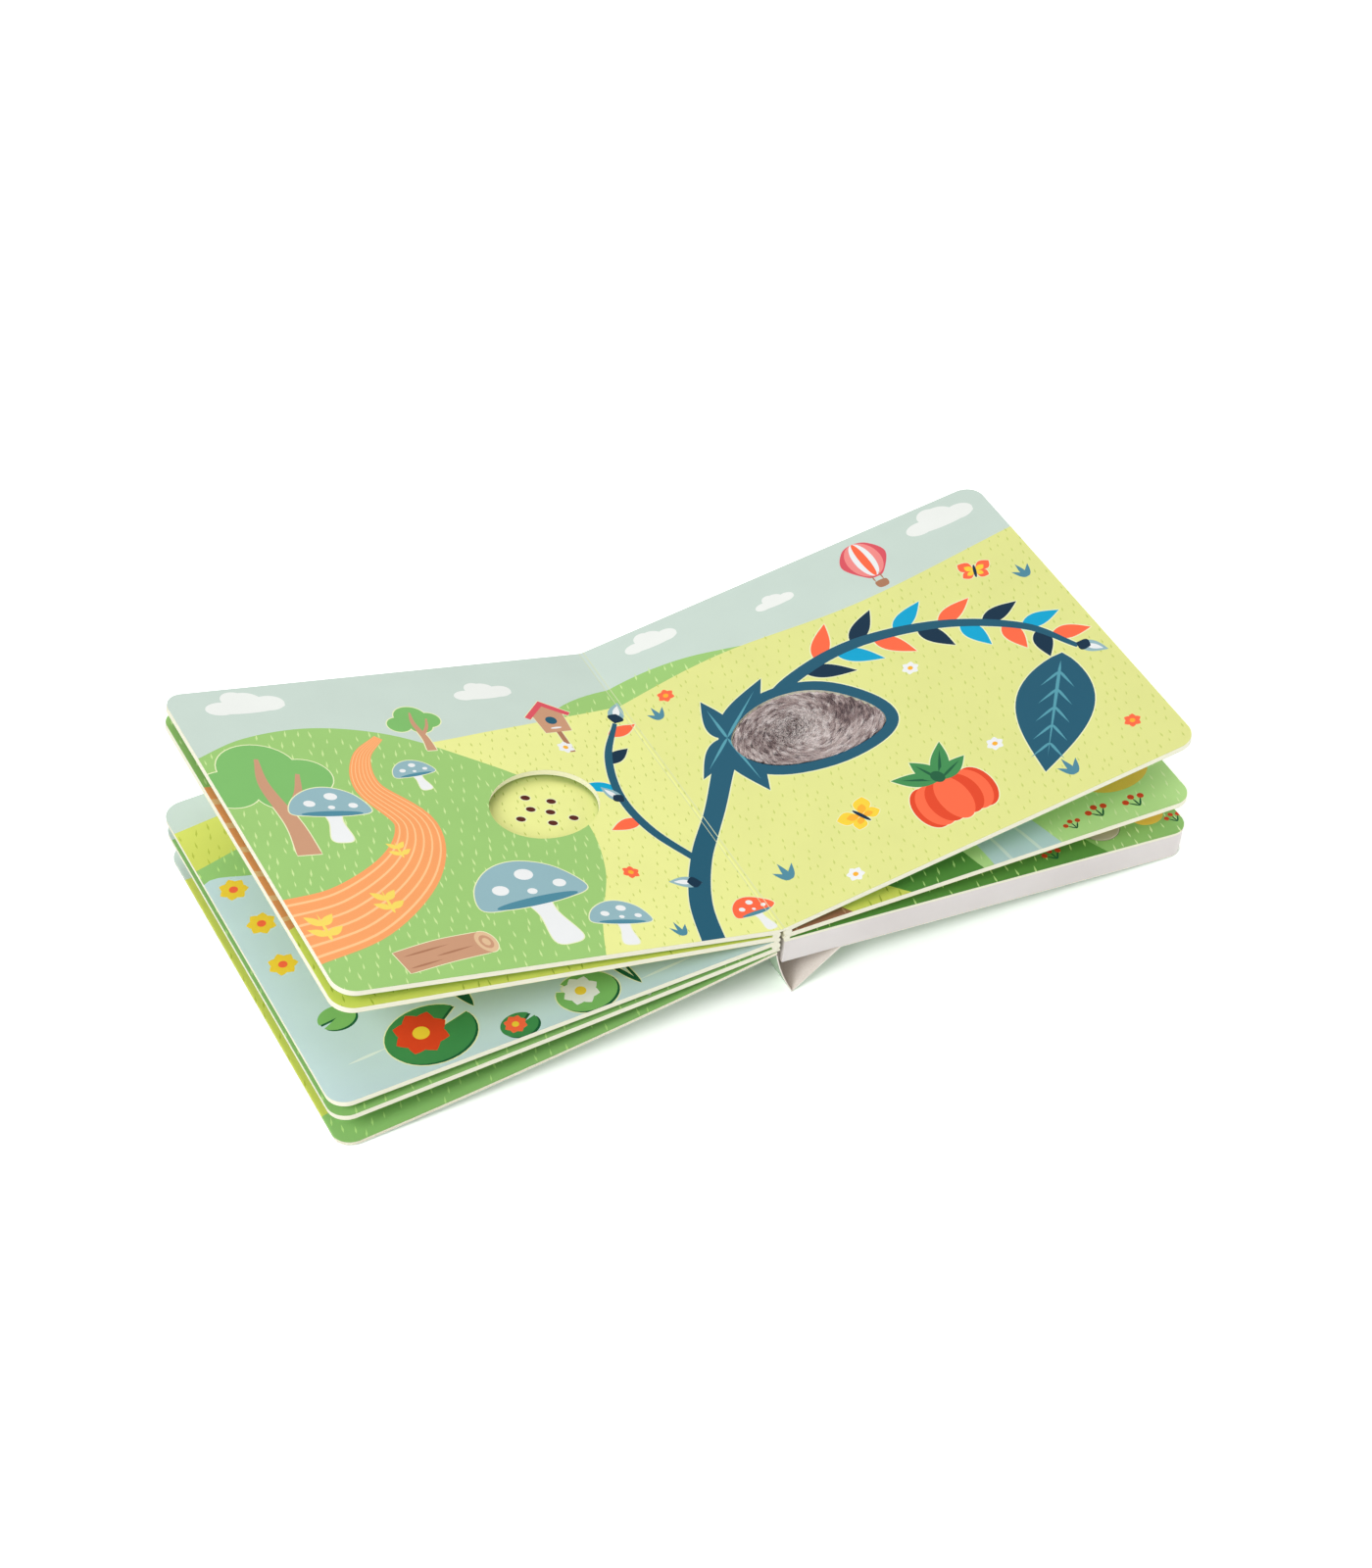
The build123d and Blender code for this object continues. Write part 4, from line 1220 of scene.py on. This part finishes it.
def make_backing():
    """Domed patch: rings that shrink to the middle, r from 1 to 0, with height 1 - r squared."""
    rim = grown(window_ring(), -backing_play)
    rings = np.linspace(1, 0.04, backing_rings)
    flat = window_middle + (rim - window_middle)[None] * rings[:, None, None]
    rise = np.broadcast_to((backing_rim + dome_height * (1 - rings ** 2))[:, None], flat.shape[:2])
    top = on_page(flat, rise)
    low = on_page(rim[None], np.full((1, len(rim)), -window_depth + backing_lift))
    places = np.concatenate([low, top]).reshape(-1, 3)
    count, levels = len(rim), len(rings) + 1
    here = np.arange(count)
    after = np.roll(here, -1)
    level = np.arange(levels - 1)[:, None] * count
    quads = np.stack([here + level, after + level, after + level + count, here + level + count], -1)
    faces = quads.reshape(-1, 4).tolist()
    faces += [here[::-1].tolist(), (here + (levels - 1) * count).tolist()]
    mesh = bpy.data.meshes.new("fur_backing")
    mesh.from_pydata((places * mm).tolist(), [], faces)
    mesh.shade_smooth()
    return add_object("fur_backing", mesh)


fur_backing = make_backing()
print("backing faces:", len(fur_backing.data.polygons))

# %% [markdown]
# Each blade starts at a root on a jittered grid, rises, and bends over along the pile's heading,
# which circles a point left of the middle. Blades run together in slim locks: every root takes
# the nearest of some thousand lock centres, and distance along the heading counts for less, so
# the locks are long and narrow, and in the middle the blades stand up and point anyhow. All are
# combed a little towards the near edge, so at the far edge the board's white wall shows above
# the pile, and a blade that would reach out of the window is shortened.

# %% Fur pile
blade_pitch = 0.265
blade_width = 0.17
blade_steps = 4
lock_pitch = 1.45
lock_stretch = 0.24
cowlick = window_middle + (-3.0, 2.0)
sweep_turn, sweep_reach = 78.0, (34, 21)
root_level, rim_level, rim_gap = -1.1, -1.07, 0.4
combed = (0.0, -0.5)
pile_seed = 5
batch = 2000


def scattered(pitch, random):
    """Points on a grid over the window, each moved by up to its pitch, kept inside it."""
    columns, rows = ((window_high - window_low) / pitch).astype(int) + 1
    grid = np.stack(np.meshgrid(np.arange(columns), np.arange(rows)), -1).reshape(-1, 2)
    points = window_low + (grid + random.uniform(0, 1, grid.shape)) * pitch
    return points[inside(window_middle + (points - window_middle) * 1.015, fur_window)]


def sweep(points):
    """Heading of the pile, which circles the cowlick, and how far out a point is, from 0 to 1."""
    away = points - cowlick
    far = np.clip(np.linalg.norm(away / sweep_reach, axis=1), 0, 1)
    return np.arctan2(away[:, 1], away[:, 0]) + radians(sweep_turn), far


def nearest_lock(roots, along, stretch, locks):
    """Number of the nearest lock, where distance along the heading is scaled by the stretch."""
    numbers = []
    for k in range(0, len(roots), batch):
        away = locks[None] - roots[k:k + batch, None]
        forward = (away * along[k:k + batch, None]).sum(-1)
        square = (away ** 2).sum(-1) - forward ** 2
        numbers.append((square + (forward * stretch[k:k + batch, None]) ** 2).argmin(1))
    return np.concatenate(numbers)


def rim_distance(points):
    """Distance in millimetres from each point to the far part of the window's outline."""
    ring = window_ring()
    ring = ring[ring[:, 1] > window_middle[1] - 4]
    parts = [np.sqrt(((points[k:k + batch, None] - ring[None]) ** 2).sum(-1).min(1))
             for k in range(0, len(points), batch)]
    return np.concatenate(parts)


def make_pile():
    """Blades: root + reach * t^1.3 along the lean + height * (1 - (1 - t)^2) out of the page."""
    random = np.random.default_rng(pile_seed)
    roots = scattered(blade_pitch, random)
    locks = scattered(lock_pitch, random)
    heading, far = sweep(roots)
    along = np.stack([np.cos(heading), np.sin(heading)], 1)
    lock = nearest_lock(roots, along, lock_stretch + 0.6 * (1 - far) ** 2, locks)
    lock_turn = random.normal(0, 0.2, len(locks))
    lock_tone = random.normal(0, 1, len(locks))
    gather = locks[lock] - roots
    gather = gather - (gather * along).sum(1)[:, None] * along
    stray = 0.14 + 1.5 * (1 - far) ** 3
    heading = heading + lock_turn[lock] + random.normal(0, 1, len(roots)) * stray
    height = 1.5 + 0.6 * random.uniform(0, 1, len(roots)) - 0.4 * far
    reach = (0.5 + 3.6 * far ** 1.2) * random.uniform(0.7, 1.3, len(roots))
    course = np.stack([np.cos(heading), np.sin(heading)], 1) * reach[:, None] + 0.7 * gather
    course = course + combed
    for _ in range(8):
        out = ~inside(window_middle + (roots + course - window_middle) * 1.01, fur_window)
        course[out] *= 0.7
    t = np.linspace(0, 1, blade_steps)[None, :, None]
    square = np.stack([-course[:, 1], course[:, 0]], 1)
    square = (square / np.maximum(np.linalg.norm(square, axis=1), 1e-6)[:, None])[:, None]
    middle = roots[:, None] + course[:, None] * t ** 1.3
    rise = root_level + height[:, None] * (1 - (1 - t[..., 0]) ** 2)
    room = rim_distance(middle.reshape(-1, 2)).reshape(rise.shape)
    rise = np.minimum(rise, rim_level + 0.6 * np.maximum(room - rim_gap, 0) ** 1.2)
    half = blade_width / 2 * (1 - 0.8 * t ** 1.5)
    flat = np.stack([middle - square * half, middle + square * half], 2)
    places = on_page(flat, np.broadcast_to(rise[..., None], flat.shape[:3]))
    return places, random.uniform(0, 1, len(roots)), lock_tone[lock], roots


def patch_of_tone(roots, middle, size):
    """Soft round patch: a bell curve of the distance from a place, from 1 down to 0."""
    return np.exp(-((roots - window_middle - middle) ** 2).sum(1) / size ** 2)


def build_pile():
    """Joins neighbouring steps of every blade into quads and stores its tone, with a painted light patch
    and painted shade at the roots, on the points.
    """
    places, own, shared, roots = make_pile()
    blades = len(places)
    first = (np.arange(blades)[:, None] * blade_steps + np.arange(blade_steps - 1)) * 2
    quads = np.stack([first, first + 1, first + 3, first + 2], -1).reshape(-1, 4)
    mesh = bpy.data.meshes.new("fur_pile")
    mesh.from_pydata((places.reshape(-1, 3) * mm).tolist(), [], quads[:, ::-1].tolist())
    # The bright patch in the middle is painted light, set against the shade that the upright blades there
    # cast on one another.
    painted_light_patch = patch_of_tone(roots, (-1, 1), 11.0)
    dark = patch_of_tone(roots, (20, 0), 12.0) + 0.4 * patch_of_tone(roots, (-21, 4), 7.0)
    tone = 0.43 + 0.36 * (own - 0.5) + 0.2 * shared + 0.46 * painted_light_patch - 0.34 * dark
    along = np.linspace(0, 1, blade_steps)
    # Each blade is darker towards its root: painted shade deep in the pile.
    shade = np.clip(tone[:, None] * 0.9 + 0.5 * along[None] - 0.16, 0, 1)
    attribute = mesh.attributes.new("tone", "FLOAT", "POINT")
    attribute.data.foreach_set("value", np.repeat(shade.ravel(), 2).astype(np.float32))
    print("blades:", blades, "triangles:", len(quads) * 2)
    return add_object("fur_pile", mesh)


def make_fur_materials():
    """Pile coloured by its tone from dark roots to pale tips, the dark roots being painted shade deep in
    the pile, and a dark woven backing.
    """
    pile = Recipe("plush_pile", 0.62, Specular_IOR_Level=0.3)
    tone = pile.add("Attribute", attribute_name="tone").outputs["Fac"]
    tint = pile.noise(160, 3)
    ramp = pile.ramp(tone, (0.05, (62, 50, 54)), (0.32, (128, 110, 112)), (0.56, (190, 170, 166)),
                     (0.9, (250, 242, 240)))
    pile.colour(pile.mix(pile.spread(tint, 0.0, 0.3), ramp, (*linear((196, 160, 152)), 1), "SOFT_LIGHT"))
    backing = Recipe("fur_backing", 0.9)
    weave = backing.add("TexWave", {"Vector": backing.place}, Scale=700.0, Distortion=2.0).outputs["Fac"]
    backing.colour(backing.ramp(weave, (0.2, (44, 38, 40)), (0.8, (80, 70, 70))))
    backing.bump(weave, 0.1, 0.6)


make_fur_materials()
fur_pile = build_pile()
fur_backing.data.materials.append(materials["fur_backing"])
fur_pile.data.materials.append(materials["plush_pile"])
for piece in (fur_backing, fur_pile):
    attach(piece, "book")
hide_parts("fur_patch")

# %% [markdown]
# ## Table, light and camera
#
# The photograph is a product picture on white: a soft light from the left, which throws the
# spine strip's shadow into the V, a broad one from above the far side, a low weak one from the
# right that reaches in between the right leaves, white all round, and shadows only where the
# book stands. The floor is pale and stays part of the stage.

# %% Floor and light
floor_half, floor_gap, floor_lift = 0.8, 0.0002, 1.6


def seen_ray(tree):
    """1 for a ray that shows a thing, itself, in gloss or through glass, and 0 for one that lights."""
    ray = tree.nodes.new("ShaderNodeLightPath")
    seen = ray.outputs["Is Camera Ray"]
    for other in ("Is Glossy Ray", "Is Transmission Ray"):
        most = tree.nodes.new("ShaderNodeMath")
        most.operation = "MAXIMUM"
        tree.links.new(seen, most.inputs[0])
        tree.links.new(ray.outputs[other], most.inputs[1])
        seen = most.outputs[0]
    return seen


def make_floor():
    """Pale floor just under the book. Where it is seen, its colour is lifted to white."""
    mesh = bpy.data.meshes.new("floor")
    ring = np.array([(-1, -1), (1, -1), (1, 1), (-1, 1)]) * floor_half
    level = np.full((4, 1), cad_low[2] - floor_gap)
    mesh.from_pydata(np.hstack([ring, level]).tolist(), [], [(0, 1, 2, 3)])
    floor = add_object("floor", mesh)
    recipe = Recipe("floor", 0.9, Specular_IOR_Level=0.1)
    pale = recipe.ramp(recipe.noise(3, 2), (0.3, (246, 246, 245)), (0.7, (248, 248, 247)))
    lift = recipe.spread(seen_ray(recipe.tree), 1.0, floor_lift)
    recipe.colour(recipe.shaded(pale, lift))
    mesh.materials.append(recipe.material)


def add_softbox(name, place, aim, size, power):
    """Square area light at a place, turned towards its aim."""
    lamp = bpy.data.lights.new(name, "AREA")
    lamp.shape, lamp.size, lamp.energy = "SQUARE", size, power
    light = add_object(name, lamp)
    light.location = place
    light.rotation_euler = (Vector(aim) - Vector(place)).to_track_quat("-Z", "Y").to_euler()


def set_world(strength):
    """Even surroundings that light by their strength and are seen as plain white."""
    world = bpy.data.worlds.new("studio")
    world.use_nodes = True
    tree = world.node_tree
    sky = tree.nodes["Background"]
    sky.inputs["Color"].default_value = (1, 1, 1, 1)
    spread = tree.nodes.new("ShaderNodeMapRange")
    spread.inputs["To Min"].default_value, spread.inputs["To Max"].default_value = strength, 1.0
    tree.links.new(seen_ray(tree), spread.inputs["Value"])
    tree.links.new(spread.outputs["Result"], sky.inputs["Strength"])
    bpy.context.scene.world = world


make_floor()
add_softbox("key_left", (-1.04, -0.65, 1.03), (0.0, 0.0, 0.0), 0.65, 13.7)
add_softbox("top_back", (0.1, 0.9, 1.4), (0.0, 0.0, 0.0), 1.4, 12.2)
add_softbox("fill_right", (0.85, -0.45, 0.28), (0.15, -0.05, 0.03), 0.5, 2.9)
set_world(0.32)
scene = bpy.context.scene
scene.view_settings.view_transform = "Standard"

# %% [markdown]
# The camera stands on a sphere round its target. Its angles, distance, roll and focal length were
# fitted to the photograph's corners and edges. The sensor's width stands for the picture's long
# side, so the focal length in pixels becomes millimetres by the ratio of those two.

# %% Camera
view_azimuth, view_elevation, view_roll = -26.951, 42.485, 0.695
view_distance = 1.6917
view_target = (0.022976, 0.037578, 0.0)
photo_focal, photo_long_side = 3901.5, 1600.0


def add_camera():
    """Camera on a sphere round its target, turned about its own axis by a small roll."""
    a, e = radians(view_azimuth), radians(view_elevation)
    back = Vector((sin(a) * cos(e), -cos(a) * cos(e), sin(e)))
    right = Vector((cos(a), sin(a), 0))
    up = back.cross(right)
    turn = Matrix((right, up, back)).transposed().to_4x4()
    data = bpy.data.cameras.new("camera")
    data.sensor_width = 36.0
    data.lens = photo_focal / photo_long_side * data.sensor_width
    data.clip_start, data.clip_end = 0.05, 20.0
    camera = add_object("camera", data)
    place = Matrix.Translation(Vector(view_target) + back * view_distance)
    camera.matrix_world = place @ turn @ Matrix.Rotation(radians(view_roll), 4, "Z")
    bpy.context.scene.camera = camera
    print("lens", round(data.lens, 2), "mm")


add_camera()

# %% [markdown]
